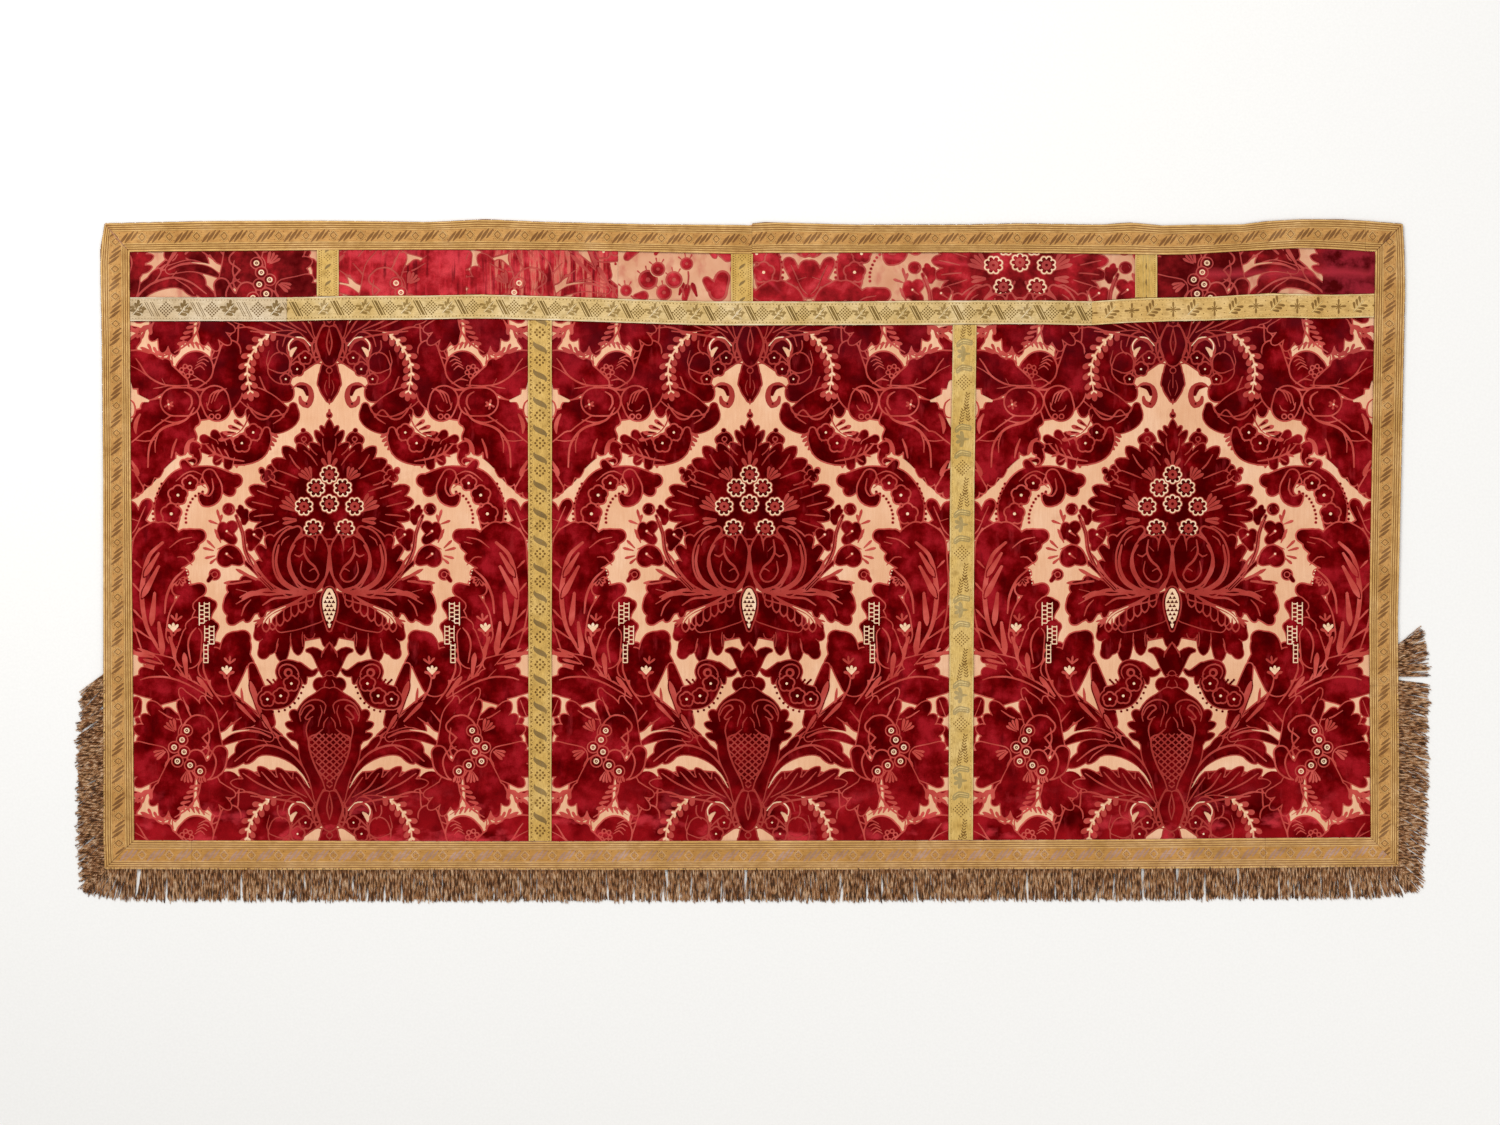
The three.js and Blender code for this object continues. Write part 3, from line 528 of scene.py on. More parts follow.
def tulip(d):
    """The overlapping curled petals under the ring flowers."""
    d.draw("pile", [[(0, 20, 14), (0, -10, 16), (-2, -40, 10)], [(20, 20, 20), (24, -14, 20), (34, -34, 10)]])
    d.draw("pile", [
        [(60, 44, 9), (74, 30, 12), (86, 2, 14), (82, -24, 12), (60, -42, 8)],
        finger(84, 20, 90, 36, 9, 7), finger(94, 8, 106, 22, 9, 6), finger(96, -10, 107, -1, 9, 5),
    ], 2.4)
    d.draw("pile", [[(48, 48, 5), (62, 36, 10), (70, 10, 13), (64, -18, 13), (38, -38, 9)]], 3.0)
    d.draw("pile", [
        [(14, 38, 3), (12, 20, 9), (14, -8, 12), (26, -32, 9)],
        [(36, 36, 4), (46, 22, 9), (50, -4, 11), (40, -28, 9)],
        [(30, 30, 8), (34, 0, 12), (32, -24, 8)],
    ], 2.6)
    veins(
        d, ([(36, 34), (38, 16), (31, 2), (22, -6), (17, -16)], 3.4),
        ([(37, 16), (45, 9), (52, 12)], 2.4), ([(35, 24), (28, 17)], 2.2),
        ([(41, 2), (43, -14), (34, -27), (22, -28), (16, -18), (22, -9), (30, -13)], 2.4),
        ([(52, 26), (60, 10), (56, -14), (42, -34), (20, -41)], 3.8),
        ([(76, 26), (80, 0), (72, -24), (54, -38), (34, -43)], 4.4),
        ([(0, 26), (2, 0), (5, -20), (14, -38)], 3.2), ([(60, 40), (69, 34), (72, 26)], 2.0),
        ([(8, -28), (16, -40), (36, -46), (66, -44), (94, -41), (114, -46), (130, -54)], 5.0),
        ([(66, -44), (88, -32), (104, -14), (114, 4), (124, 16)], 3.2),
    )


def broad_leaf(d):
    """The wide leaf that spreads under the tulip."""
    d.draw("pile", [[
        (-4, -60, 20), (20, -62, 14), (40, -68, 12), (60, -78, 10), (78, -88, 7),
    ], [(20, -76, 14), (50, -88, 12), (72, -96, 8)]], 1.8)
    d.draw("pile", [
        [(30, -48, 8), (70, -54, 12), (104, -56, 18), (132, -58, 22), (144, -66, 15)],
        finger(96, -42, 128, -27, 10, 9), finger(118, -40, 148, -38, 14, 9),
        finger(130, -66, 148, -88, 17, 8),
        finger(116, -66, 124, -86, 9, 5), finger(98, -62, 102, -80, 8, 4),
    ])
    veins(
        d, ([(30, -46), (66, -46), (94, -48), (116, -44), (134, -52)], 3.4),
        ([(40, -48), (62, -52), (84, -54), (100, -64)], 3.2),
        ([(118, -56), (127, -66), (132, -80)], 2.4), ([(100, -48), (118, -50), (140, -62)], 2.4),
        ([(124, -44), (140, -40)], 1.8),
        ([(36, -50), (56, -62), (76, -70), (90, -78), (100, -92)], 5.0),
    )
    d.draw("ground", [line([(66, -66), (82, -73), (94, -82), (100, -92)], 2.0)])
    for angle in (-16, -34, -52):
        d.draw("rose", [petal(98, -84, angle, 17, 3.0)])


def fingers_below(d):
    """The long lobes that hang from the palmette's foot."""
    d.draw("pile", [[(6, -96, 14), (28, -98, 16), (60, -102, 18), (88, -108, 14)]])
    lobes(d, [
        finger(0, -98, 2, -122, 18, 9), finger(30, -96, 30, -109, 9, 7), pointed(48, -104, 47, -137, 19, 0.0),
        pointed(67, -108, 70.5, -148, 21, 0.05), finger(86, -106, 93, -128, 12, 13),
        finger(102, -98, 107, -112, 9, 7),
        finger(94, -126, 100, -138, 11, 8),
    ], 1.5)
    d.draw("pile", [[(10, -96, 9), (40, -98, 10), (66, -106, 12), (88, -112, 12)]], 0.0)
    veins(
        d, ([(58, -106), (58.5, -118), (55, -130)], 1.8), ([(76.5, -114), (79, -124), (80, -134)], 1.8),
        ([(40, -104), (41, -114), (40, -126)], 1.6),
    )


def checked_cone(d):
    """The small cone on the mirror line, checked in dark and cream."""
    d.draw("pile", [[(0, -44, 7), (0, -56, 12), (0, -72, 11), (0, -100, 2.4)]], 2.4)
    d.draw("cream", [[(0, -44, 5.4), (0, -56, 10), (0, -72, 9), (0, -97, 1.2)]])
    for k in range(8):
        y = -46 - 6.2 * k
        reach = np.interp(y, [-97, -72, -56, -44], [1.4, 8.2, 9.4, 5.0])
        for x in np.arange((k % 2) * 3.0, reach, 6.0):
            d.draw("pile", [
                [(x - 2.0, y - 1.6, 0.8), (x + 2.0, y - 1.6, 0.8)],
                [(x, y - 0.8, 1.6), (x, y + 1.8, 0.5)],
            ], 0.0)


def s_scroll(d):
    """The beaded crescent over the acanthus, with its hook and three flowers."""
    d.draw("ground", [[
        (206, 148, 2.4), (220, 147, 4), (236, 136, 5), (250, 121, 5), (260, 104, 5), (266, 86, 5),
        (267, 66, 4.6), (264, 50, 2.5),
    ]])
    d.draw("pile", [
        finger(156, 124, 138, 123, 12, 9, 0.1), finger(158, 116, 148, 107, 10, 8),
        [
            (150, 126, 8), (176, 132, 11), (204, 129, 13.5), (222, 123, 16), (236, 106, 17),
            (244, 86, 17), (243, 60, 16),
        ],
        finger(213, 140, 219, 150, 7, 5),
    ])
    d.draw("pile", [[(180, 130, 9), (171, 112, 9), (174, 98, 9), (186, 92, 7), (192, 99, 3.5)]], 2.4)
    veins(
        d, ([(176, 126), (174, 110), (180, 100), (188, 101)], 2.4),
        ([(190, 130), (194, 120), (186, 112)], 2.2),
        ([(192, 132), (204, 137), (217, 133), (230, 122)], 2.0),
    )
    dark_flower(d, 209, 119, 11.0, 1.9)
    dark_flower(d, 227, 101, 14.0, 2.2)
    dark_flower(d, 237, 73, 15.0, 2.3)
    outer = [(251.5, 118), (258, 103), (262, 90), (264.5, 76), (263.5, 62), (260, 50)]
    bead_row(d, outer, 10, 2.4, "rose")
    bead_row(d, outer, 10, 1.6)
    inner = [(190, 106), (202, 99), (210, 87), (215, 72), (215, 60)]
    bead_row(d, inner, 10, 2.4, "rose")
    bead_row(d, inner, 10, 1.4)


def seam_flower(d):
    """Half a flower at the seam, which the next width mirrors."""
    d.draw("pile", [
        finger(286, 60, 272, 90, 7, 8), finger(290, 66, 300, 84, 8, 9), finger(284, 60, 272, 52, 7, 7),
        finger(292, 58, 302, 42, 8, 9), finger(292, 64, 310, 62, 8, 9),
    ])
    veins(
        d, ([(276, 84), (284, 66), (286, 60)], 2.0), ([(286, 62), (298, 66)], 1.8),
        ([(286, 60), (292, 48), (300, 40)], 1.8),
    )
    d.draw("pile", [finger(296, 124, 284, 108, 8, 6), finger(300, 130, 296, 100, 9, 6)])
    veins(d, ([(298, 32), (288, 20), (286, 8)], 2.4))


def bud_sprig(d):
    """Four buds on forked stems in the open ground."""
    d.draw("pile", [[(86, -40, 2.4), (112, -12, 2.2), (126, 18, 2.0), (130, 44, 1.8), (140, 70, 1.4)]], 1.3)
    d.draw("pile", [[(104, -20, 2.0), (120, -6, 2.2), (132, 6, 2.0)]], 1.2)
    veins(d, ([(84, -42), (110, -14), (126, 16), (130, 44), (138, 66)], 1.8))
    d.draw("pile", [
        finger(126, 66, 134, 84, 5, 4), finger(127, 64, 125, 78, 5, 4), finger(128, 68, 138, 78, 5, 3),
        [(128, 60, 3.5), (132, 78, 3)],
    ], 1.0)
    d.draw("pile", [[(151, 80, 8.2)]], 1.8)
    veins(d, ([(146, 84), (144, 78), (148, 74)], 1.5), ([(155, 84), (158, 79)], 1.3))
    d.draw("pile", [[(106, 44, 7), (112, 36, 9), (118, 22, 4)], [(120, 44, 6), (118, 34, 7)]], 1.6)
    d.draw("pile", [[(146, 54, 8), (154, 44, 9), (146, 34, 7)], [(160, 54, 6), (162, 42, 7)]], 1.6)
    d.draw("pile", [[(136, 4, 8), (150, 12, 14), (156, 6, 12)]], 1.9)
    veins(d, ([(126, -6), (134, 18), (150, 27), (168, 20)], 2.2))
    for x, y in ((113, 42), (154, 47), (154, 13)):
        d.draw("rose", [[(x - 9, y - 7, 0.8), (x - 3, y - 3, 1.4), (x, y, 2.6)]])
        d.draw("cream", [[(x, y, 1.5)]])
    d.draw("pile", [[(172, -18, 7.5)]], 1.9)
    d.draw("pile", [finger(176, -20, 182, -28, 3.4, 2.6)], 1.0)
    d.draw("pile", [[(172, -18, 3.4)]], 1.6)
    for x, y, angle, length in (
        (164, 62, 76, 18), (164, 60, 104, 12), (168, 58, 20, 14), (163, 30, 66, 22), (172, 22, 44, 16),
        (174, 18, 14, 16), (172, 10, -14, 15), (170, 6, -40, 12),
    ):
        d.draw("rose", [petal(x, y, angle, length, 4.4)])
    d.draw("rose", [petal(110, -26, 28, 34, 5.5), petal(118, -28, -4, 40, 6.5)])
    d.draw("pile", [petal(130, -27, -8, 20, 2.6)], 0.0)


def acanthus(d):
    """The great leaf that rises along the seam and sweeps down to the vase."""
    for x, y in ((296, 2), (300, -34), (300, -76), (294, -112)):
        d.draw("pile", [pointed(x - 20, y - 24, x + 5, y + 12, 17, -0.12, 0.9)])
    d.draw("pile", [
        [
            (250, 44, 16), (246, 26, 26), (254, -4, 30), (262, -40, 30), (262, -76, 30),
            (250, -112, 28), (226, -150, 24), (190, -182, 17), (150, -208, 12), (112, -234, 8),
            (76, -262, 5),
        ],
        [(262, 50, 10), (280, 34, 12), (286, 0, 10), (286, -40, 12), (280, -84, 14), (268, -124, 14)],
        finger(214, 34, 192, 41, 16, 9), finger(222, 18, 201, 27, 14, 7), finger(228, 4, 208, 8, 14, 7),
        finger(232, -18, 216, -16, 12, 6),
    ])
    d.draw("pile", [
        [(210, -52, 13), (220, -80, 19), (226, -108, 18)], finger(206, -46, 193, -40, 12, 9),
        finger(226, -40, 215, -30, 9, 7),
    ], 2.4)
    veins(d, ([(216, -10), (233, -26), (244, -50), (247, -76)], 3.4))
    for angle in (160, 200, 240, 300):
        d.draw("rose", [petal(225, -26, angle, 10, 5.4)])
        d.draw("pile", [petal(225, -26, angle, 7.5, 2.6)], 0.0)
    bead_row(d, [(214, -12), (211, -22), (210, -31)], 5, 1.2, "cream")
    veins(d, ([(250, 30), (270, 10), (279, -24), (281, -56), (274, -96), (256, -130)], 6.4))
    for x, y, angle, length, width in (
        (256, 14, -58, 40, 8), (256, -6, -62, 52, 9), (262, -46, -84, 48, 9), (256, -90, -98, 46, 9),
        (222, -112, -84, 36, 8), (240, -112, -110, 30, 7),
    ):
        d.draw("pile", [petal(x, y, angle, length + 2, width + 3)], 0.0)
        d.draw("rose", [petal(x, y, angle, length, width)])
    for x, y, angle, length in (
        (282, -8, 46, 16), (284, -44, 50, 18), (280, -86, 48, 22), (266, -116, 34, 34),
    ):
        d.draw("rose", [petal(x, y, angle, length, 3.4)])
    veins(
        d, ([(206, -4), (218, 8), (228, 8)], 2.0), ([(202, 31), (214, 28)], 2.0),
        ([(206, 38), (224, 34), (240, 22)], 2.0),
        ([(256, -130), (236, -158), (204, -182), (166, -210), (128, -232), (96, -248), (74, -262)], 5.0),
    )
    for x, y, angle, length in (
        (246, -144, 20, 44), (222, -168, 14, 60), (196, -190, 16, 54), (206, -178, 60, 26),
        (170, -206, 40, 44), (150, -218, 66, 40), (128, -230, 84, 42),
    ):
        d.draw("rose", [petal(x, y, angle, length, 4.2)])


def ladder_leaves(d):
    """Lobes crossed by a strip of cream ladder work."""
    d.draw("pile", [
        [(184, -64, 11), (192, -84, 13)], finger(190, -60, 198, -66, 8, 7), finger(186, -74, 175, -62, 10, 7),
        [(180, -96, 11), (186, -118, 12)], finger(182, -108, 171, -94, 9, 6),
        finger(180, -140, 168, -126, 12, 8),
    ], 1.9)
    d.draw("pile", [[(206, -110, 14), (212, -140, 18)], finger(206, -96, 200, -90, 9, 8)], 1.9)
    d.draw("pile", [
        finger(142, -122, 128, -112, 18, 11), [(140, -126, 22), (146, -150, 22), (158, -180, 20)],
        finger(120, -150, 124, -140, 6, 5), [(172, -140, 12), (180, -160, 16)],
    ], 2.0)
    d.draw("pile", [[(116, -156, 5), (110, -180, 9), (100, -212, 11), (90, -240, 8)]], 2.0)
    veins(
        d, ([(200, -98), (208, -108), (212, -124), (208, -150)], 2.6),
        ([(189, -146), (188, -164), (176, -190), (160, -212)], 2.8),
    )
    ladder(d, 180.0, 195.0, -94.0, -60.0, 3, 6.4)
    ladder(d, 173.0, 187.0, -122.0, -95.0, 3, 6.4)
    ladder(d, 182.0, 188.5, -150.0, -122.0, 2, 6.4)


def crown_flowers(d):
    """Two small open flowers with pointed cream crowns on long stems."""
    for x, y, stem in (
        (234, -100, [(236, -108), (236, -126), (230, -150), (214, -176)]),
        (154, -164, [(153, -172), (150, -188), (140, -206), (124, -230)]),
    ):
        d.draw("rose", [[(x, y - 2, 6), (x + 1, y - 7, 4)]])
        for angle in (20, 160):
            d.draw("rose", [petal(x, y - 4, angle, 12, 4.6)])
        for angle in (55, 90, 125):
            d.draw("cream", [petal(x, y - 3, angle, 12, 4.4)])
        d.draw("pile", [[(x, y - 6, 1.3)]], 0.0)
        for angle in (50, 95, 140):
            d.draw("rose", [petal(x - 4, y + 12, angle, 12, 3.6)])
        veins(d, (stem, 2.8))
    for x, y, angle, length, width in (
        (100, -236, 72, 60, 8.5), (112, -238, 46, 40, 6), (176, -200, 52, 36, 7),
        (214, -172, 84, 36, 8), (86, -254, 60, 30, 6),
    ):
        d.draw("pile", [petal(x, y, angle, length + 2, width + 3)], 0.0)
        d.draw("rose", [petal(x, y, angle, length, width)])


def foot_crescent(d):
    """The beaded crescent beside the vase, with its ring and three flowers."""
    d.draw("pile", [
        [(46, -157, 7), (38, -162.5, 6.5), (30, -166, 4.8), (24, -165.5, 3.2), (19.5, -161.5, 1.6)],
        [(44, -160, 6), (39, -170, 5), (37, -180, 2)],
        [(44, -160, 6), (53, -158, 9.5), (65, -161, 14), (67, -167, 12)],
        [(57, -180, 15), (71, -199, 17.5), (94, -205.5, 14.5)],
        [(73, -174, 4), (77, -184, 5), (86, -189, 5), (97, -190.5, 4)],
    ], 1.8)
    veins(d, ([
        (47, -177), (46.5, -165), (54, -155.5), (65, -152.5), (74, -157), (76, -166), (72, -174),
    ], 2.2))
    d.draw("rose", [[(62, -165, 6.8)]])
    d.draw("pile", [[(61.5, -165.5, 3.4)]], 0.0)
    bead_row(d, [
        (39.5, -187), (43, -197), (48, -206), (55.5, -214), (64, -220), (74, -223), (85, -224),
    ], 8, 1.7)
    d.draw("pile", [pointed(79, -182, 84, -176, 2.6), pointed(87, -182, 93, -176, 2.8)], 0.0)
    dark_flower(d, 57, -181.5, 11.0, 2.0)
    dark_flower(d, 73, -200, 11.0, 2.1)
    dark_flower(d, 93, -205, 10.0, 1.9)


def vase(d):
    """The lobed vase with a lattice front that stands on the mirror line."""
    axis_cup(d)
    d.draw("pile", [
        [(6, -200, 12), (12, -212, 18), (23, -229, 25), (36, -250, 18), (38, -264, 12)],
        [(42, -242, 9), (52, -229, 7), (54, -227, 5.5)], pointed(46, -248, 64, -242, 12),
        pointed(46, -264, 62, -258, 10), [(26, -262, 20), (28, -290, 16), (18, -320, 13), (12, -352, 11)],
        [(0, -214, 14), (0, -240, 16), (0, -300, 22), (0, -350, 10)],
    ], 1.8)
    veins(
        d,
        ([
            (8, -226), (5.5, -214), (12, -207.5), (22, -205.5), (31, -208), (40, -215), (45, -227),
            (43, -238),
        ], 2.4),
        ([
            (43, -229), (39, -220), (33, -215), (27, -214), (23.5, -219), (29, -223), (33, -228),
            (36.5, -233), (33, -235.5), (25, -231),
        ], 2.4),
        ([(29, -235), (33, -242), (35, -252), (32, -268)], 2.2),
        ([(2, -232), (8, -240), (9, -248)], 2.0),
        ([(14, -214), (11, -224), (15, -236), (17, -246)], 1.8),
    )
    outline = [(10, -250), (20, -258), (30, -262), (30, -280), (22, -304), (11, -326), (5, -346)]
    for slope in (-1, 1):
        for k in range(-2, 11):
            points = []
            for t in np.linspace(0, 1, 9):
                x = 32 * (t if slope > 0 else 1 - t)
                y = -250 - 9.6 * k - 30 * t
                edge = np.interp(y, [-340, -326, -304, -280, -262, -252], [3, 10, 21, 29, 29, 14])
                if -338 < y < -254 and x < edge:
                    points.append((x, y))
            if len(points) > 1:
                d.draw("rose", [line(points, 1.9, 1.0)])
    veins(d, (outline, 2.6))
    d.draw("pile", [[(5, -350, 7), (10, -372, 10), (0, -392, 10)]], 2.0)
    veins(
        d, ([(9, -340), (16, -354), (20, -370), (14, -388)], 3.0),
        ([(0, -346), (4, -368), (0, -386)], 2.2), ([(22, -360), (26, -376), (20, -394)], 2.6),
    )


def foot_leaves(d):
    """Leaves that fan from the vase towards the bloom."""
    d.draw("pile", [
        [(30, -322, 7), (48, -296, 9), (72, -280, 12), (100, -274, 14), (126, -282, 15)],
        pointed(120, -282, 154, -306, 18), pointed(108, -280, 126, -300, 14), pointed(60, -282, 74, -262, 12),
        pointed(86, -272, 104, -256, 12),
    ], 1.8)
    d.draw("pile", [[(90, -262, 6), (118, -256, 8), (142, -262, 6), (166, -274, 2)]], 1.6)
    veins(
        d, ([(26, -334), (40, -306), (62, -284), (92, -274), (118, -280), (142, -298)], 3.0),
        ([(66, -282), (74, -272), (78, -264)], 2.0), ([(92, -274), (100, -264)], 1.8),
        ([(88, -262), (106, -254), (130, -252), (150, -258), (168, -274)], 3.6),
    )
    d.draw("ground", [line([(120, -251), (146, -255), (166, -270)], 2.4, 0.3)])
    veins(d, ([(98, -276), (116, -288), (124, -298)], 2.0))
    d.draw("pile", [
        [(26, -360, 7), (40, -342, 10), (62, -336, 12), (92, -336, 14), (120, -332, 12)],
        pointed(40, -342, 52, -316, 13), pointed(58, -336, 78, -310, 15), pointed(82, -332, 106, -308, 16),
        pointed(106, -330, 134, -312, 16), pointed(118, -334, 146, -330, 14),
    ], 1.7)
    d.draw("ground", [line([(30, -338), (42, -318), (62, -302), (90, -296), (116, -302)], 3.4, 0.2)])
    for points in (
        [(22, -364), (36, -342), (50, -322)], [(34, -352), (58, -338), (74, -316)],
        [(50, -348), (82, -334), (102, -314)],
        [(70, -348), (106, -332), (130, -316)],
    ):
        veins(d, (points, 2.4))


def right_leaf(d):
    """The two-lobed leaf above the bloom, with stems running past it."""
    d.draw("pile", [
        [(196, -196, 10), (232, -186, 18), (262, -184, 20), (292, -184, 12)],
        finger(236, -172, 258, -158, 12, 8), finger(262, -172, 280, -164, 10, 8),
        finger(236, -196, 262, -208, 12, 8),
        [(240, -152, 9), (262, -146, 8), (280, -144, 6)],
    ], 1.8)
    veins(
        d, ([(176, -204), (214, -182), (244, -172), (270, -172), (284, -176)], 2.6),
        ([(238, -172), (246, -164), (250, -160)], 1.6),
    )
    for k, (x, y) in enumerate(((252, -152), (264, -142), (276, -138))):
        d.draw("rose", [petal(x, y, 14 - 4 * k, 28, 5)])
    veins(d, ([(248, -154), (262, -140), (284, -135), (300, -133)], 2.0))
    d.draw("pile", [[(290, -210, 8), (292, -222, 9)], [(288, -236, 3), (282, -248, 2.4)]], 1.6)
    veins(d, ([(286, -206), (292, -222), (296, -232)], 1.6))
    d.draw("pile", [[(294, -250, 4), (300, -262, 5), (298, -272, 3)]], 1.6)


def bloom(d):
    """The great open flower beside the vase."""
    d.draw("pile", [
        finger(240, -250, 268, -213, 16, 9), finger(232, -240, 244, -222, 12, 7),
        finger(250, -258, 278, -232, 16, 8),
        finger(252, -262, 289, -249, 16, 8), finger(250, -270, 284, -266, 14, 8),
        finger(244, -280, 268, -280, 14, 9),
        [(230, -262, 30)],
    ], 1.8)
    d.draw("pile", [
        finger(256, -290, 291, -275, 14, 8), finger(262, -298, 302, -290, 14, 9),
        finger(262, -306, 302, -313, 14, 9),
        finger(260, -312, 288, -332, 14, 8), [(262, -298, 16)],
    ], 1.8)
    d.draw("pile", [
        [(222, -310, 22), (232, -340, 26), (240, -354, 16)], finger(236, -352, 231, -382, 13, 7),
        finger(246, -350, 250, -379, 12, 6),
        finger(252, -342, 266, -361, 12, 6), finger(216, -340, 211, -363, 12, 7),
    ], 1.8)
    d.draw("pile", [
        [(184, -322, 14), (176, -344, 16)], finger(170, -338, 145, -348, 10, 6),
        finger(172, -346, 151, -367, 10, 6),
        finger(180, -350, 169, -376, 10, 6), finger(188, -344, 188, -368, 10, 6),
    ], 1.8)
    d.draw("pile", [
        finger(176, -262, 190, -204, 12, 6, 0.1), finger(192, -250, 222, -192, 14, 6, 0.1),
        finger(206, -250, 224, -210, 12, 7),
        [(172, -280, 12), (186, -256, 18), (208, -256, 18)],
    ], 1.8)
    veins(d, ([(196, -252), (210, -226), (220, -202)], 2.2), ([(222, -236), (240, -232), (256, -222)], 2.2))
    d.draw("pile", [[(184, -246, 8), (198, -246, 16), (208, -262, 14), (196, -280, 14)]], 2.6)
    d.draw("pile", [[(164, -286, 10), (172, -306, 13), (190, -312, 12), (200, -294, 12)]], 2.6)
    veins(
        d, ([(182, -248), (180, -264), (184, -276), (192, -282)], 2.4),
        ([(190, -276), (176, -284), (170, -300), (176, -320), (184, -326)], 2.4),
    )
    fan(d, 230, -254, (26, 44, 62, 80), 17, 4.8, 3)
    fan(d, 244, -282, (-6, -24, -42), 17, 4.8, 3)
    fan(d, 212, -310, (-58, -74, -90, -106), 17, 4.6, 3)
    fan(d, 192, -314, (-78, -96, -112), 13, 4.4, 3)
    for x, y in ((214, -252), (221, -266), (233, -277), (218, -284), (228, -298), (209, -304), (194, -313)):
        d.draw("pile", [[(x, y, 7.6)]], 1.9)
        d.draw("cream", [[(x, y, 4.2)]])
        d.draw("pile", [[(x, y, 2.3)]], 0.0)
        d.draw("cream", [[(x, y, 0.9)]])
    for k in range(5):
        d.draw("rose", [petal(196 + 4.5 * k, -334 - 8 * k, -14, 14, 5.2)])
    veins(d, ([(192, -326), (198, -350), (214, -370), (232, -382)], 2.6))
    stem = [(262, -334), (272, -346), (286, -352), (298, -350)]
    veins(d, (stem, 1.8))
    leaflets(d, "rose", stem, 14, 5.0, 36, 4, (1, -1), 0.2)


def dark_grounds(d):
    """Leaf masses that lie behind the scrolls at the foot of the repeat."""
    d.draw("pile", [
        [(110, -352, 22), (132, -372, 26), (150, -398, 28)], [(146, -372, 14), (164, -384, 12)],
        [(30, -384, 16), (70, -392, 30), (110, -398, 30)],
    ])


def pointed(x0, y0, x1, y1, width, bend=0.0, root=0.9):
    """A lobe that ends in a point."""
    dx, dy = x1 - x0, y1 - y0
    half = width / 2
    mx, my = x0 + 0.5 * dx - bend * dy, y0 + 0.5 * dy + bend * dx
    nx, ny = x0 + 0.8 * dx - 0.6 * bend * dy, y0 + 0.8 * dy + 0.6 * bend * dx
    return [(x0, y0, half * root), (mx, my, half), (nx, ny, half * 0.72), (x1, y1, 1.6)]


def lobes(design, roots, rim=RIM):
    """Pile lobes with rose edges that open into one another at their roots."""
    for stroke in roots:
        design.draw("pile", [stroke], rim)
    design.draw("pile", [[(x, y, 1.12 * r) for x, y, r in stroke[:1]] for stroke in roots], 0.0)


def fan(design, x, y, angles, length, width, root=0.0):
    """Rose drops about one point, each parted from the next by a dark line."""
    for angle in angles:
        a = np.radians(angle)
        px, py = x + root * np.cos(a), y + root * np.sin(a)
        design.draw("pile", [petal(px, py, angle, length + 1.5, width + 2.4)], 0.0)
        design.draw("rose", [petal(px, py, angle, length, width)])


def ladder(design, low, high, foot, top, rails, rung):
    """A block of cream ladder work on pile."""
    middle = (low + high) / 2
    design.draw("pile", [[(middle, foot, (high - low) * 0.6), (middle, top, (high - low) * 0.6)]], 0.0)
    places = np.linspace(low, high, rails)
    for x in places:
        design.draw("cream", [[(x, foot, 0.7), (x, top, 0.7)]])
    for k, (a, b) in enumerate(zip(places, places[1:])):
        for y in np.arange(foot + rung * 0.5 * (k % 2), top, rung):
            design.draw("cream", [[(a, y, 0.8), (b, y, 0.8)]])


def scallops(d):
    """The row of rose loops under the broad leaf."""
    places = ((30, -62), (42, -70), (53, -76), (64, -83), (75, -90), (86, -96), (96, -99))
    for x, y in places:
        veins(d, ([
            (x - 6, y + 14), (x - 6.5, y + 2), (x - 1, y - 5), (x + 4.5, y + 1), (x + 4, y + 12),
        ], 2.3))


def dark_leaf_fill(d):
    """Dark leaves that close the gap between the great leaf's stem and the bloom."""
    d.draw("pile", [
        [(84, -262, 4), (104, -246, 9), (128, -232, 13), (152, -222, 15), (170, -226, 12)],
        pointed(150, -226, 164, -252, 16), pointed(128, -236, 142, -258, 16),
        pointed(108, -248, 118, -262, 12),
        pointed(168, -222, 184, -238, 15),
    ], 1.9)
    d.draw("pile", [[(84, -262, 4), (110, -240, 8), (140, -218, 12), (176, -204, 14)]], 0.0)
    for x, y, angle, length in ((112, -244, -30, 26), (132, -232, -36, 28), (152, -222, -50, 30)):
        d.draw("rose", [petal(x, y, angle, length, 2.8)])


def foot_folds(d):
    """Soft folds of the leaves beside the vase's foot."""
    veins(
        d, ([(30, -372), (52, -360), (84, -354), (118, -350)], 2.8),
        ([(96, -352), (120, -344), (142, -346)], 2.0),
    )


def axis_cup(d):
    """The three-petalled cup on the mirror line, above the vase, and the knob it stands on."""
    d.draw("pile", [
        [(0, -126, 4), (0, -138, 9), (0, -152, 13), (0, -164, 8)],
        [(4, -163, 9), (11, -150, 8.5), (17, -139, 7.5), (25, -132.5, 5), (33, -132, 2)],
    ], 1.6)
    veins(d, ([(0, -119), (4, -126), (10.5, -134.5), (12, -142)], 2.2))
    d.draw("pile", [[(0, -168, 5), (0, -182, 7), (14, -183, 10)], [(4, -180, 9), (6, -198, 13)]], 1.6)
    veins(d, ([(0, -170), (8, -168)], 2.0), ([(4, -176), (8, -184), (6, -194)], 1.6))


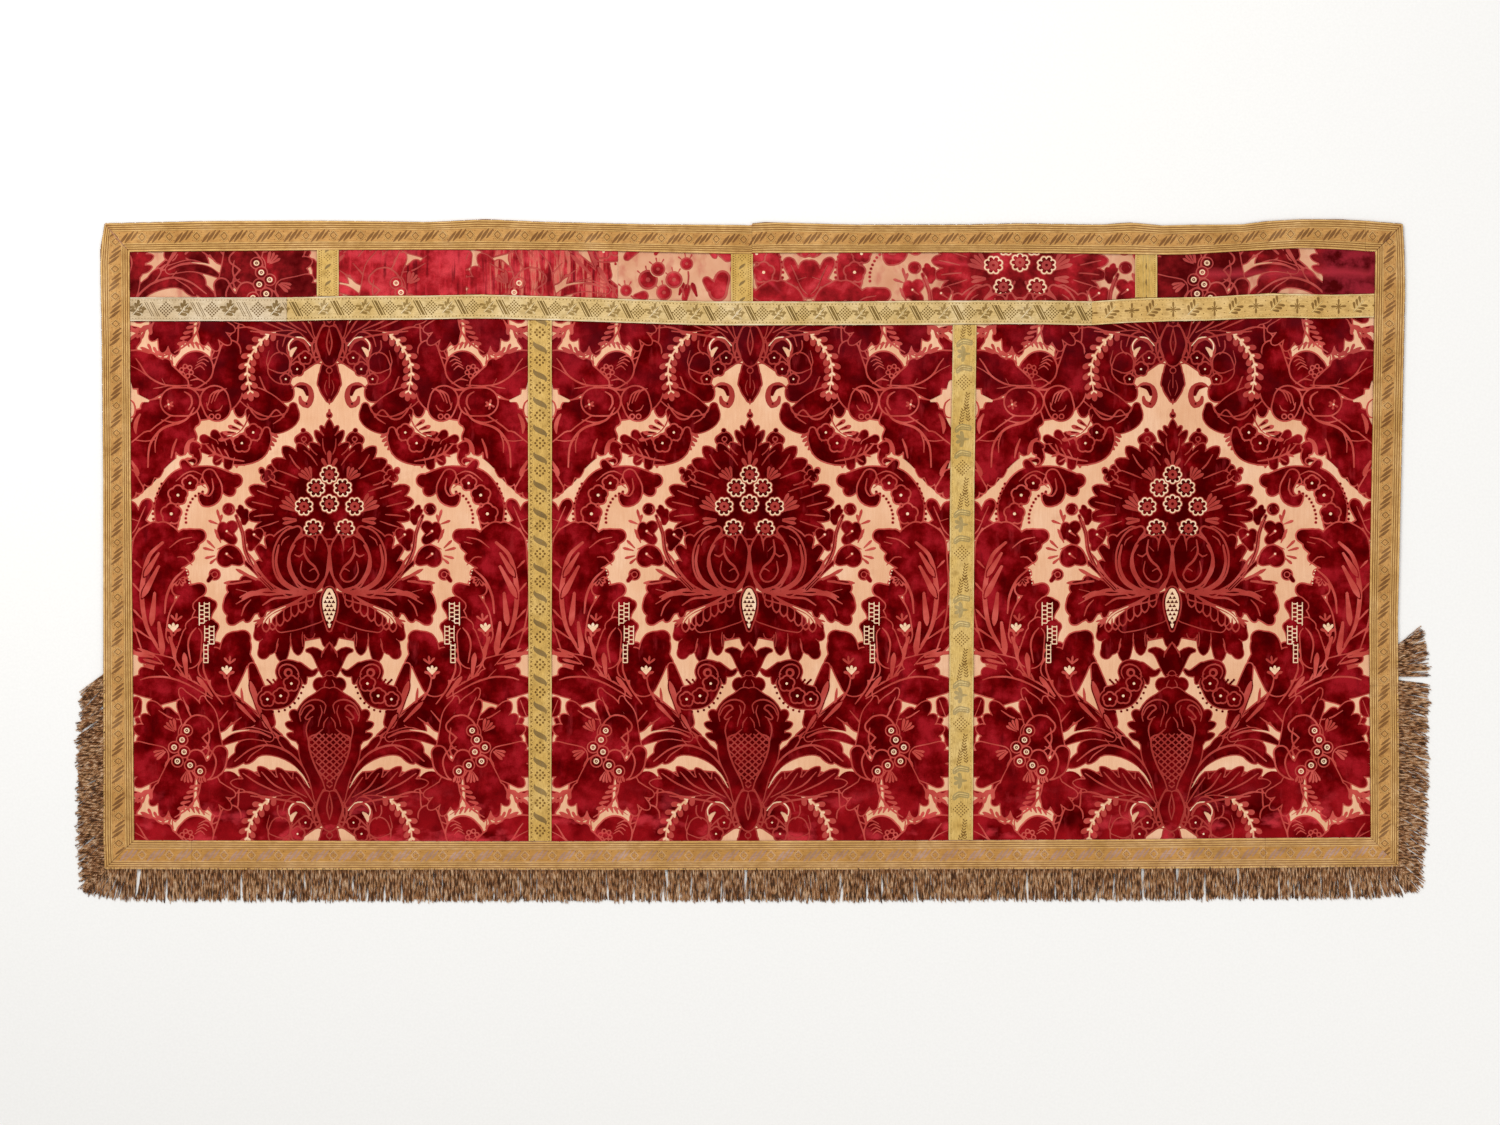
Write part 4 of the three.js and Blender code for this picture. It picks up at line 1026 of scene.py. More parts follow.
def seam_ground(d):
    """The open ground along the seam, the leaf's turned pink edges, and the third fruit over the leaf."""
    d.draw("ground", [
        [(303, 268, 6), (300, 250, 7), (300, 232, 10), (302, 214, 6), (304, 204, 3)],
        [(300, 250, 6), (286, 246, 5), (272, 242.5, 2.0)],
        [(306, 150, 6), (305, 135, 9), (305, 118, 9), (306, 104, 6)],
    ])
    veins(d, ([(300, 245), (293, 239), (291, 228), (294, 219), (301, 217)], 2.6))
    d.draw("rose", [[(284, 222, 1.6), (289, 213, 3.0), (291, 203, 3.0), (290, 194, 1.0)]])
    d.draw("rose", [[(297, 152, 1.5), (291, 142, 3.0), (288, 134, 3.4), (292, 124, 2.6), (296, 116, 1.5)]])
    band = [
        (218, 158, 2.5), (228, 150, 6), (241, 137, 7), (251, 124, 7), (261, 112, 7.5), (270, 104, 7.5),
        (280, 98, 6.5),
        (292, 93, 4.5), (301, 92, 4),
    ]
    d.draw("ground", [band])
    d.draw("pile", [
        finger(257, 140, 259, 132, 8, 6), finger(270, 128, 272, 120, 7, 6),
        pointed(284, 118, 293, 99, 13),
    ], 1.6)
    d.draw("pile", [[(248, 150, 6), (258, 142, 8), (270, 132, 8), (282, 124, 7)]], 0.0)
    d.draw("rose", [[(203, 186, 1.4), (210, 181, 3.0), (215, 172, 2.4), (217, 163, 1.2)]])
    veins(d, ([(229, 185), (234, 172), (237, 157)], 3.4))
    d.draw("pile", [[(215, 241, 20), (232, 241, 20)]], 2.4)
    veins(d, ([(217, 256), (208, 250), (206, 238), (211, 229)], 2.8))
    for angle in (80, 150, 200, 260, 330):
        d.draw("rose", [petal(241, 237, angle, 7.5, 3.4)])
    d.draw("cream", [[(241, 237, 1.5)]])
    veins(
        d,
        ([
            (203, 232), (212, 217), (224, 210), (244, 204), (256, 196), (267, 181), (271, 166),
            (272, 143),
        ], 3.4),
        ([(216, 214), (232, 210), (252, 214)], 2.0), ([(256, 194), (261, 180), (261, 165)], 2.0),
    )


def draw_design():
    """The whole half repeat, the hindmost things first."""
    d = Fabric(0.0, HALF_WIDTH, FOOT, TOP, STEP, [(0.0, -REPEAT), (0.0, 0.0), (0.0, REPEAT)])
    dark_grounds(d)
    top_scrolls(d)
    axis_drop(d)
    upper_petals(d)
    fruits(d)
    upper_leaves(d)
    seam_ground(d)
    sprig(d)
    curl(d)
    flower_crescent(d)
    side_curl(d)
    trefoils(d)
    palmette_crown(d)
    palmette_petals(d)
    ring_flowers(d)
    fingers_below(d)
    broad_leaf(d)
    scallops(d)
    tulip(d)
    checked_cone(d)
    s_scroll(d)
    seam_flower(d)
    bud_sprig(d)
    acanthus(d)
    dark_leaf_fill(d)
    ladder_leaves(d)
    crown_flowers(d)
    foot_crescent(d)
    right_leaf(d)
    foot_leaves(d)
    foot_folds(d)
    vase(d)
    bloom(d)
    return d


# Turning fields into meshes


def crossings(field, xs, ys, level):
    """Unbroken lines along which a field passes a level."""
    f = field - level
    f[f == 0] = 1e-6
    inside = f > 0
    across = inside[:, :-1] != inside[:, 1:]
    up = inside[:-1] != inside[1:]
    if not across.any() and not up.any():
        return []
    i, j = np.nonzero(across)
    t = f[i, j] / (f[i, j] - f[i, j + 1])
    first = np.column_stack([xs[j] + t * (xs[j + 1] - xs[j]), ys[i]])
    across_id = np.full(across.shape, -1)
    across_id[i, j] = np.arange(len(i))
    i, j = np.nonzero(up)
    t = f[i, j] / (f[i, j] - f[i + 1, j])
    second = np.column_stack([xs[j], ys[i] + t * (ys[i + 1] - ys[i])])
    up_id = np.full(up.shape, -1)
    up_id[i, j] = len(first) + np.arange(len(i))
    places = np.vstack([first, second])

    sides = np.stack([across_id[:-1], across_id[1:], up_id[:, :-1], up_id[:, 1:]], -1).reshape(-1, 4)
    count = (sides >= 0).sum(1)
    plain = sides[count == 2]
    pairs = [np.sort(plain, axis=1)[:, 2:]]
    saddle = count == 4
    if saddle.any():
        middle = (f[:-1, :-1] + f[1:, :-1] + f[:-1, 1:] + f[1:, 1:]).reshape(-1)[saddle] > 0
        joined = middle == inside[:-1, :-1].reshape(-1)[saddle]
        low, high, left, right = sides[saddle].T
        pairs.append(np.column_stack([low, np.where(joined, right, left)]))
        pairs.append(np.column_stack([high, np.where(joined, left, right)]))
    return chained(places, np.vstack(pairs))


def chained(places, pairs):
    """Joins short pieces that share ends into long lines."""
    neighbours = [[] for _ in range(len(places))]
    for a, b in pairs.tolist():
        neighbours[a].append(b)
        neighbours[b].append(a)
    used = bytearray(len(places))
    ends = [k for k, near in enumerate(neighbours) if len(near) == 1]
    lines = []
    for start in ends + list(range(len(places))):
        if used[start] or not neighbours[start]:
            continue
        chain = [start]
        used[start] = 1
        here = start
        while True:
            ahead = [n for n in neighbours[here] if not used[n]]
            if not ahead:
                break
            here = ahead[0]
            used[here] = 1
            chain.append(here)
        if len(chain) > 2 and start in neighbours[here]:
            chain.append(start)
        if len(chain) > 1:
            lines.append(places[chain])
    return lines


def thinned(points, slack):
    """The fewest of a line's points that keep within the slack of it."""
    closed = np.allclose(points[0], points[-1])
    keep = np.zeros(len(points), bool)
    keep[[0, -1]] = True
    middle = len(points) // 2
    spans = [(0, len(points) - 1)]
    if closed and len(points) > 4:
        keep[middle] = True
        spans = [(0, middle), (middle, len(points) - 1)]
    while spans:
        a, b = spans.pop()
        if b - a < 2:
            continue
        run = points[b] - points[a]
        off = points[a + 1 : b] - points[a]
        away = np.abs(run[0] * off[:, 1] - run[1] * off[:, 0]) / (np.hypot(*run) + 1e-9)
        k = int(away.argmax())
        if away[k] > slack:
            keep[a + 1 + k] = True
            spans += [(a, a + 1 + k), (a + 1 + k, b)]
    return points[keep]


def sampled(field, xs, ys, points):
    """A field's value at any points, straight between the grid's."""
    gx = np.clip((points[:, 0] - xs[0]) / (xs[1] - xs[0]), 0, len(xs) - 1.001)
    gy = np.clip((points[:, 1] - ys[0]) / (ys[1] - ys[0]), 0, len(ys) - 1.001)
    j, i = gx.astype(int), gy.astype(int)
    tx, ty = gx - j, gy - i
    low = field[i, j] * (1 - tx) + field[i, j + 1] * tx
    high = field[i + 1, j] * (1 - tx) + field[i + 1, j + 1] * tx
    return low * (1 - ty) + high * ty


def inside_window(points, window):
    """Which points lie in a convex window whose corners run anticlockwise."""
    kept = np.ones(len(points), bool)
    for a, b in zip(window, np.roll(window, -1, axis=0)):
        run = b - a
        kept &= run[0] * (points[:, 1] - a[1]) - run[1] * (points[:, 0] - a[0]) > -1e-7
    return kept


def window_border(window, spacing):
    """Points round a window, no further apart than the spacing."""
    out = []
    for a, b in zip(window, np.roll(window, -1, axis=0)):
        count = max(1, int(np.ceil(np.hypot(*(b - a)) / spacing)))
        out.append(a + (b - a) * (np.arange(count) / count)[:, None])
    return np.vstack(out)


def closed_border(window, spacing):
    """The same points with the first one again at the end."""
    ring = window_border(window, spacing)
    return np.vstack([ring, ring[:1]])


def upright_window(length, foot, top):
    """The corners of a rectangle that starts at 0."""
    return np.array([[0.0, foot], [length, foot], [length, top], [0.0, top]])


def grid_points(window, spacing):
    """Even points inside a window, kept off its edge."""
    low, high = window.min(0), window.max(0)
    xs = np.arange(low[0] + spacing * 0.6, high[0] - spacing * 0.4, spacing)
    ys = np.arange(low[1] + spacing * 0.6, high[1] - spacing * 0.4, spacing)
    x, y = np.meshgrid(xs, ys)
    shifted = np.column_stack([(x + 0.25 * spacing * (np.arange(len(ys)) % 2)[:, None]).ravel(), y.ravel()])
    middle = window.mean(0)
    return shifted[inside_window(middle + (shifted - middle) * 1.02, window)]


def facing_up(vertices, faces):
    """The triangles that run anticlockwise, with their corners, and twice their area."""
    vertices = np.array([tuple(v) for v in vertices])
    faces = np.array([f for f in faces if len(f) == 3])
    a, b, c = (vertices[faces[:, k]] for k in range(3))
    area = (b[:, 0] - a[:, 0]) * (c[:, 1] - a[:, 1]) - (b[:, 1] - a[:, 1]) * (c[:, 0] - a[:, 0])
    turned = area < 0
    faces[turned] = faces[turned][:, ::-1]
    return vertices, faces, area


def triangulated(lines, loose, window):
    """Triangles inside a window that keep every given line as an edge."""
    points, edges = [], []
    count = 0
    for chain in lines:
        points.append(chain)
        edges += [(count + k, count + k + 1) for k in range(len(chain) - 1)]
        count += len(chain)
    points.append(loose)
    places = np.vstack(points)
    vertices, _, faces, _, _, _ = delaunay_2d_cdt(places.tolist(), edges, [], 0, 1e-5)
    vertices, faces, area = facing_up(vertices, faces)
    kept = inside_window(vertices[faces].mean(1), window) & (np.abs(area) > 1e-7)
    faces = faces[kept]
    used, back = np.unique(faces, return_inverse=True)
    return vertices[used], back.reshape(-1, 3)


def rim_edges(faces):
    """Edges that only one face has, in that face's direction."""
    edges = np.vstack([faces[:, [0, 1]], faces[:, [1, 2]], faces[:, [2, 0]]])
    size = int(faces.max()) + 1
    keys = np.minimum(edges[:, 0], edges[:, 1]) * size + np.maximum(edges[:, 0], edges[:, 1])
    _, where, count = np.unique(keys, return_index=True, return_counts=True)
    return edges[where[count == 1]]


def mirrored(points, faces, kinds):
    """The same triangles on both sides of the mirror line, joined along it."""
    off_axis = points[:, 0] > 1e-6
    other = np.arange(len(points))
    other[off_axis] = len(points) + np.arange(off_axis.sum())
    both = np.vstack([points, points[off_axis] * [-1, 1]])
    return both, np.vstack([faces, other[faces][:, ::-1]]), np.concatenate([kinds, kinds])


def cloth_object(name, points, faces, kinds, place, heights, spacing, materials):
    """A closed sheet: the drawn face, a plain back and the edge that joins them."""
    rim = rim_edges(faces)
    ring = np.unique(rim)
    low, high = points.min(0), points.max(0)
    window = np.array([low, [high[0], low[1]], high, [low[0], high[1]]])
    under, under_faces = under_sheet(points, rim, ring, window, spacing)
    top = place(points, heights)
    bottom = place(under, np.zeros(len(under)))
    start = len(top)
    twin = np.full(len(points), -1)
    twin[ring] = start + np.arange(len(ring))
    walls = np.vstack([
        np.column_stack([rim[:, 0], twin[rim[:, 0]], twin[rim[:, 1]]]),
        np.column_stack([rim[:, 0], twin[rim[:, 1]], rim[:, 1]]),
    ])
    everything = np.vstack([faces, walls, under_faces[:, ::-1] + start])
    marks = np.concatenate([kinds, np.full(len(walls) + len(under_faces), BACK)])
    return mesh_object(name, np.vstack([top, bottom]), everything, marks, materials)


def under_sheet(points, rim, ring, window, spacing):
    """A coarse sheet that shares the drawn face's outline. Its first points are the outline's own."""
    order = np.full(len(points), -1)
    order[ring] = np.arange(len(ring))
    places = np.vstack([points[ring], grid_points(window, spacing)])
    vertices, _, faces, _, _, _ = delaunay_2d_cdt(places.tolist(), order[rim].tolist(), [], 1, 1e-6)
    vertices, faces, area = facing_up(vertices, faces)
    return vertices, faces[np.abs(area) > 1e-9]


def mesh_object(name, vertices, faces, kinds, materials, sharp=28):
    """An object from triangles, smooth but for its steps."""
    mesh = bpy.data.meshes.new(name)
    mesh.from_pydata((vertices * MM).tolist(), [], faces.tolist())
    for item in materials:
        mesh.materials.append(item)
    mesh.polygons.foreach_set("material_index", np.asarray(kinds, np.int32))
    mesh.polygons.foreach_set("use_smooth", np.ones(len(faces), bool))
    mesh.update()
    mesh.set_sharp_from_angle(angle=math.radians(sharp))
    piece = bpy.data.objects.new(name, mesh)
    bpy.context.scene.collection.objects.link(piece)
    return piece


# The lie of the cloth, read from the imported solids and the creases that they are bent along


# Where each crease starts and ends, its height and how far it reaches to both sides
CREASES = [
    (652, 434, 700, 436, 3.4, 24),
    (720, 438, 900, 437, 3.8, 25),
    (500, 430, 530, 431, 2.6, 24),
    (224, 438, 372, 424, 3.0, 22),
    (60, 434, 170, 428, 2.2, 24),
    (-372, 438, -366, 428, 2.2, 22),
    (-318, 440, -312, 430, 2.6, 22),
    (-262, 438, -256, 430, 2.4, 22),
    (-540, 436, -450, 432, 2.0, 24),
    (-880, 434, -760, 431, 1.8, 25),
    (-150, 430, -90, 427, 1.6, 24),
    (-870, 290, -700, 300, 1.4, 50),
    (-560, -330, -420, -345, 1.2, 55),
    (-220, 285, -120, 292, 1.4, 50),
    (110, -340, 220, -330, 1.2, 55),
    (420, 292, 520, 288, 1.4, 50),
    (780, 285, 860, 296, 1.6, 50),
    (470, -335, 640, -330, 1.2, 55),
]


def lift(x, y):
    """Height of the velvet's underside."""
    height = np.zeros(len(x))
    for x0, y0, x1, y1, high, reach in CREASES:
        dx, dy = x1 - x0, y1 - y0
        t = np.clip(((x - x0) * dx + (y - y0) * dy) / (dx * dx + dy * dy), 0, 1)
        away = np.hypot(x - x0 - t * dx, y - y0 - t * dy) / reach
        height = np.maximum(height, np.where(away < 1, high * (1 - np.minimum(away, 1) ** 2) ** 2, 0))
    return height


# How far from a strip's ends its first and last cuts lie
END_INSET = 0.3


class Outline:
    """A packed strip or panel seen from above. along is 0 where it runs with X and 1 where it runs with Y."""

    def __init__(self, node, along):
        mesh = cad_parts[node].data
        co = np.zeros(len(mesh.vertices) * 3)
        mesh.vertices.foreach_get("co", co)
        self.points = co.reshape(-1, 3)[:, :2] / MM
        edges = np.zeros(len(mesh.edges) * 2, int)
        mesh.edges.foreach_get("vertices", edges)
        self.edges = edges.reshape(-1, 2)
        self.along = along
        self.corners = [self.corner(*way) for way in ((-1, -1), (1, -1), (1, 1), (-1, 1))]
        ends = [c[along] for c in self.corners]
        self.start, self.stop = max(ends[0], ends[3]), min(ends[1], ends[2])
        s = self.points[:, along]
        self.low = self.side(s, self.corners[0], self.corners[1], 0)
        self.high = self.side(s, self.corners[3], self.corners[2], 1)

    def corner(self, ahead, up):
        """The corner that lies furthest one way along and one way across. Across counts double."""
        s, v = self.points[:, self.along], self.points[:, 1 - self.along]
        return self.points[np.argmax(ahead * s + 2 * up * v)]

    def side(self, s, first, last, which):
        """One long side, from its first corner to its last: places along it and how far across they lie."""
        start, stop = first[self.along], last[self.along]
        first_cut, last_cut = start + END_INSET, stop - END_INSET
        between = s[(s > first_cut) & (s < last_cut)]
        along = np.unique(np.concatenate([np.linspace(first_cut, last_cut, 40), between]))
        across = [self.slice(at)[which] for at in along]
        places = np.concatenate([[start], along, [stop]])
        return places, np.concatenate([[first[1 - self.along]], across, [last[1 - self.along]]])

    def slice(self, at):
        """Lowest and highest place across the strip, at one place along it."""
        a, b = self.points[self.edges[:, 0]], self.points[self.edges[:, 1]]
        sa, sb = a[:, self.along], b[:, self.along]
        hit = ((sa - at) * (sb - at) <= 0) & (np.abs(sa - sb) > 1e-6)
        t = (at - sa[hit]) / (sb[hit] - sa[hit])
        across = a[hit, 1 - self.along] + t * (b[hit, 1 - self.along] - a[hit, 1 - self.along])
        return across.min(), across.max()

    def at(self, s, t):
        """The place at distance s along and share t across."""
        low, high = np.interp(s, *self.low), np.interp(s, *self.high)
        across = low + (high - low) * t
        return np.column_stack([s, across] if self.along == 0 else [across, s])


# Relief: from the drawn fields to heights and materials


def relief_lines(fabric, levels, slack):
    """The edges of all that is drawn, as lines for the mesh to keep."""
    lines = []
    for field, heights in zip((fabric.cover, fabric.pile, fabric.cream), levels):
        for level in heights:
            edges = crossings(field, fabric.xs, fabric.ys, level)
            lines += [thinned(points, slack) for points in edges]
    return lines


def fields_at(fabric, places):
    """The values of the cover, the pile and the cream thread at each place."""
    return [
        sampled(field, fabric.xs, fabric.ys, places)
        for field in (fabric.cover, fabric.pile, fabric.cream)
    ]


def woven_kinds(fabric, places):
    """What is woven at each place."""
    cover, pile, cream = fields_at(fabric, places)
    kinds = np.full(len(places), SATIN)
    kinds[cover > 0] = LOOP
    kinds[pile > 0] = PILE
    kinds[cream > 0] = CREAM
    return kinds


def woven_heights(fabric, places, ground, loop, top, slope, cream_step=0.0):
    """Height over the underside at each place."""
    cover, pile, cream = fields_at(fabric, places)
    high = ground + (loop - ground) * np.clip(cover / slope, 0, 1)
    high = high + (top - loop) * np.clip(pile / slope, 0, 1)
    return high + cream_step * np.clip(cream / slope, 0, 1)


# The velvet


# The levels of the cover, the pile and the cream thread at which the relief has its edges
VELVET_LEVELS = ((0.0, SLOPE), (0.0, SLOPE), (0.0,))


def blanked(design):
    """Leaves the cloth bare where galloons hide it."""
    rows = design.ys[:, None]
    hidden = (design.xs[None, :] > SEEN_HALF) | (rows > SEEN_TOP) | (rows < SEEN_FOOT)
    for field in (design.cover, design.pile, design.cream):
        field[hidden] = np.minimum(field[hidden], HIDDEN)
    return design


def half_panel(design):
    """Half of the panel's drawn face, as triangles."""
    window = upright_window(PANEL_HALF, PANEL_FOOT, PANEL_TOP)
    lines = relief_lines(design, VELVET_LEVELS, 0.2)
    lines.append(closed_border(window, 8.0))
    points, faces = triangulated(lines, grid_points(window, 12.0), window)
    return points, faces, woven_kinds(design, points[faces].mean(1))


def velvet_panel(node, axis_top, axis_foot, design, drawn, materials):
    """One panel. The design keeps its size, and only its hidden edges are fitted to the outline."""
    outline = Outline(node, 1)
    points, faces, kinds = mirrored(*drawn)
    half = np.column_stack([np.abs(points[:, 0]), points[:, 1]])
    heights = woven_heights(design, half, GROUND_HIGH, LOOP_HIGH, PILE_HIGH, SLOPE)
    foot, top = outline.start, outline.stop

    def place(flat, high):
        y = foot + (flat[:, 1] - PANEL_FOOT) / (PANEL_TOP - PANEL_FOOT) * (top - foot)
        y = np.where((flat[:, 1] > TRUE_FOOT) & (flat[:, 1] < TRUE_TOP), flat[:, 1], y)
        axis = np.interp(y, [AXIS_FOOT, AXIS_TOP], [axis_foot, axis_top])
        left, right = outline.at(y, 0)[:, 0], outline.at(y, 1)[:, 0]
        reach = np.abs(flat[:, 0])
        edge = np.where(flat[:, 0] < 0, axis - left, right - axis)
        beyond = np.maximum(reach - SEEN_HALF, 0) / (PANEL_HALF - SEEN_HALF)
        x = np.minimum(reach, SEEN_HALF) + beyond * (edge - SEEN_HALF)
        x = axis + np.sign(flat[:, 0]) * x
        return np.column_stack([x, y, lift(x, y) + high])

    return cloth_object(f"{node}_cloth", points, faces, kinds, place, heights, 24.0, materials)


# Half the cloth's width that a scrap counts its place in, and what the design's seen half is spread over
CLOTH_HALF, SQUEEZED_HALF = 316.5, 317.5


def scrap_fabric(design, length, offset, level, rubbed_from, rubbed_to):
    """A strip of the same velvet, cut at some place of the design, with one stretch rubbed plain."""
    fabric = Fabric(0.0, length, BAND_FOOT, BAND_CLOTH_TOP, STEP, [(0.0, 0.0)])
    x, y = np.meshgrid(fabric.xs, fabric.ys)
    from_axis = np.abs((x + offset + CLOTH_HALF) % (2 * CLOTH_HALF) - CLOTH_HALF)
    u = from_axis * SEEN_HALF / SQUEEZED_HALF
    w = level + y - BAND_MIDDLE
    places = np.column_stack([u.ravel(), w.ravel()])
    for name in ("cover", "pile", "cream"):
        field = sampled(getattr(design, name), design.xs, design.ys, places)
        field = field.reshape(x.shape)
        rubbed = np.minimum(x - rubbed_from, rubbed_to - x)
        field = np.minimum(field, -rubbed) if name == "cream" else np.maximum(field, rubbed)
        setattr(fabric, name, field.astype(np.float32))
    return fabric


def berries(length):
    """The rubbed scrap with a bunch of round berries, single ones on stems and broad leaves."""
    fabric = Fabric(0.0, length, BAND_FOOT, BAND_CLOTH_TOP, STEP, [(0.0, 0.0)])
    for strokes in (
        [finger(150, 406, 158, 430, 15, 12), finger(140, 414, 132, 424, 10, 7)],
        [finger(156, 470, 166, 456, 12, 8)],
        [finger(138, 474, 146, 458, 7, 5)], [finger(24, 470, 12, 456, 9, 6)],
        [finger(100, 396, 104, 414, 5, 6)],
        [petal(92, 402, 70, 18, 8)], [petal(118, 400, 110, 20, 8)], [finger(176, 440, 184, 426, 8, 6)],
        [finger(28, 398, 40, 400, 6, 8)], [finger(60, 470, 56, 462, 5, 3)],
    ):
        fabric.draw("rose", strokes)
        fabric.draw("pile", [[(x, y, 0.72 * r) for x, y, r in stroke] for stroke in strokes], 0.0)
    stems = (
        [(103, 446), (106, 430), (104, 412)], [(12, 407), (22, 398), (34, 394)],
        [(84, 424), (96, 410), (100, 398)],
    )
    for points in stems:
        veins(fabric, (points, 2.6))
    rounds = ((45, 424, 15), (69, 405, 12), (84, 424, 13), (60, 440, 11), (103, 448, 10), (12, 408, 9))
    for x, y, r in rounds:
        fabric.draw("ground", [[(x, y, r + 1.2)]])
        fabric.draw("rose", [[(x, y, r)]])
        fabric.draw("pile", [[(x, y, 0.78 * r)]], 0.0)
        fabric.draw("rose", [[(x, y, 0.24 * r)]])
        for angle in (60, 100, 140):
            tip = np.radians(angle)
            fabric.draw("rose", [petal(x + r * np.cos(tip), y + r * np.sin(tip), angle, 6.5, 2.6)])
    return fabric


def band_scrap(node, fabric, materials):
    """One scrap of the band, bare where the border and the cross galloon hide it."""
    outline = Outline(node, 0)
    hidden = (fabric.ys > BAND_SEEN_TOP) | (fabric.ys < BAND_SEEN_FOOT)
    for field in (fabric.cover, fabric.pile, fabric.cream):
        field[hidden] = HIDDEN
    long = fabric.xs[-1]
    window = upright_window(long, BAND_FOOT, BAND_TOP)
    lines = relief_lines(fabric, VELVET_LEVELS, 0.18)
    lines.append(closed_border(window, 8.0))
    points, faces = triangulated(lines, grid_points(window, 8.0), window)
    kinds = woven_kinds(fabric, points[faces].mean(1))
    heights = woven_heights(fabric, points, GROUND_HIGH, LOOP_HIGH, PILE_HIGH, SLOPE)

    def place(flat, high):
        s = outline.start + flat[:, 0] / long * (outline.stop - outline.start)
        foot, top = outline.at(s, 0)[:, 1], outline.at(s, 1)[:, 1]
        beyond = (flat[:, 1] - BAND_TRUE_TOP) / (BAND_TOP - BAND_TRUE_TOP)
        y = np.where(flat[:, 1] < BAND_TRUE_TOP, flat[:, 1], BAND_TRUE_TOP + beyond * (top - BAND_TRUE_TOP))
        y = np.where(flat[:, 1] < BAND_FOOT + 1, foot, y)
        return np.column_stack([s, y, lift(s, y) + high])

    return cloth_object(f"{node}_cloth", points, faces, kinds, place, heights, 14.0, materials)


# Galloons and border: one repeat of each is drawn, and repeated along its strip


def galloon_tile(pitch, width):
    return Fabric(0.0, pitch, 0.0, width, 0.36, [(-pitch, 0.0), (0.0, 0.0), (pitch, 0.0)])


def stripes(tile, pitch, places, thick):
    for v in places:
        ends = (-pitch * 0.1, pitch * 1.1)
        tile.draw("pile", [[(x, v, thick / 2) for x in ends]], 0.0)


def lozenge(tile, kind, x, y, half_long, half_high, thick):
    corners = [
        (x - half_long, y), (x, y + half_high), (x + half_long, y), (x, y - half_high),
        (x - half_long, y),
    ]
    for a, b in zip(corners, corners[1:]):
        tile.draw(kind, [[(*a, thick / 2), (*b, thick / 2)]], 0.0)


def dots(tile, kind, places, radius):
    tile.draw(kind, [[(x, y, radius)] for x, y in places], 0.0)


def edge_holes(tile, pitch, width, inset, step, radius, stagger=0.0):
    """Rows of small holes along both edges."""
    count = round(pitch / step)
    gap = pitch / count
    for v in (inset, width - inset):
        dots(tile, "cream", [(gap * (k + 0.5), v) for k in range(count)], radius)
        if stagger:
            inner = v + stagger if v < width / 2 else v - stagger
            dots(tile, "cream", [(gap * (k + 1.0), inner) for k in range(count)], radius * 0.8)


def hole_diamond(tile, x, y, size, gap, radius):
    """A diamond of holes."""
    for i in range(-size, size + 1):
        for j in range(-size, size + 1):
            if abs(i) + abs(j) <= size and (i + j) % 2 == 0:
                dots(tile, "cream", [(x + gap * i, y + gap * j)], radius)


def leaf_group(tile, x, y, lean, length, width):
    """Two rows of leaves along a slanted stem."""
    a = np.radians(lean)
    tile.draw("pile", [[
        (x - 11 * np.cos(a), y - 11 * np.sin(a), 0.7), (x + 11 * np.cos(a), y + 11 * np.sin(a), 0.5),
    ]], 0.0)
    for t in (-7.5, -1.5, 4.5):
        for side in (-1, 1):
            px = x + (t + side) * np.cos(a) - side * 2.2 * np.sin(a)
            py = y + (t + side) * np.sin(a) + side * 2.2 * np.cos(a)
            tile.draw("rose", [petal(px, py, lean + side * 52, length, width)])


def border_tile():
    """Gold border: fine stripes at both sides, slanted leaf pairs and small lozenges between."""
    pitch, width = 41.0, 43.0
    tile = galloon_tile(pitch, width)
    stripes(tile, pitch, (1.5, 41.5), 2.4)
    stripes(tile, pitch, (5.2, 8.4, 11.6, 31.4, 34.6, 37.8), 1.6)
    for v in (3.4, 6.8, 10.0, 33.0, 36.2, 39.6):
        tile.draw("cream", [[(-4.0, v, 0.35), (pitch + 4.0, v, 0.35)]], 0.0)
    for x, y, full in ((2.6, 19.6, 1.0), (10.6, 21.5, 1.1), (18.4, 23.0, 0.85)):
        tile.draw("rose", [[
            (x - 5.4 * full, y - 7.0 * full, 0.9), (x - 1.6 * full, y - 2.0 * full, 2.0 * full),
            (x + 1.8 * full, y + 2.2 * full, 2.0 * full), (x + 5.8 * full, y + 7.4 * full, 0.8),
        ]])
    lozenge(tile, "pile", 30.0, 21.5, 6.4, 7.4, 1.0)
    lozenge(tile, "rose", 30.0, 21.5, 4.6, 5.4, 0.7)
    for x in (27.0, 30.0, 33.0):
        dots(tile, "cream", [(x, y - 0.8 * (x - 30.0)) for y in (21.5, 25.0, 18.0)], 0.6)
    for x in (24.0, 37.0):
        dots(tile, "cream", [(x, 15.6), (x, 27.4)], 0.8)
    return tile, pitch, width


def zigzag_tile():
    """The middle cross galloon: diamonds of holes, slanted lines and leaves about crossed stems."""
    pitch, width = 62.0, 36.0
    tile = galloon_tile(pitch, width)
    stripes(tile, pitch, (1.2, 34.8), 1.7)
    edge_holes(tile, pitch, width, 4.4, 5.2, 0.9)
    hole_diamond(tile, 17.0, 18.0, 4, 2.5, 1.3)
    for x in (1.0, 4.4, 57.5, 60.9):
        tile.draw("cream", [[(x - 5.5, 28.5, 0.8), (x + 5.5, 7.5, 0.8)]], 0.0)
    leaf_group(tile, 41.0, 18.0, 128.0, 8.6, 3.6)
    leaf_group(tile, 41.0, 18.0, 48.0, 7.4, 3.2)
    return tile, pitch, width


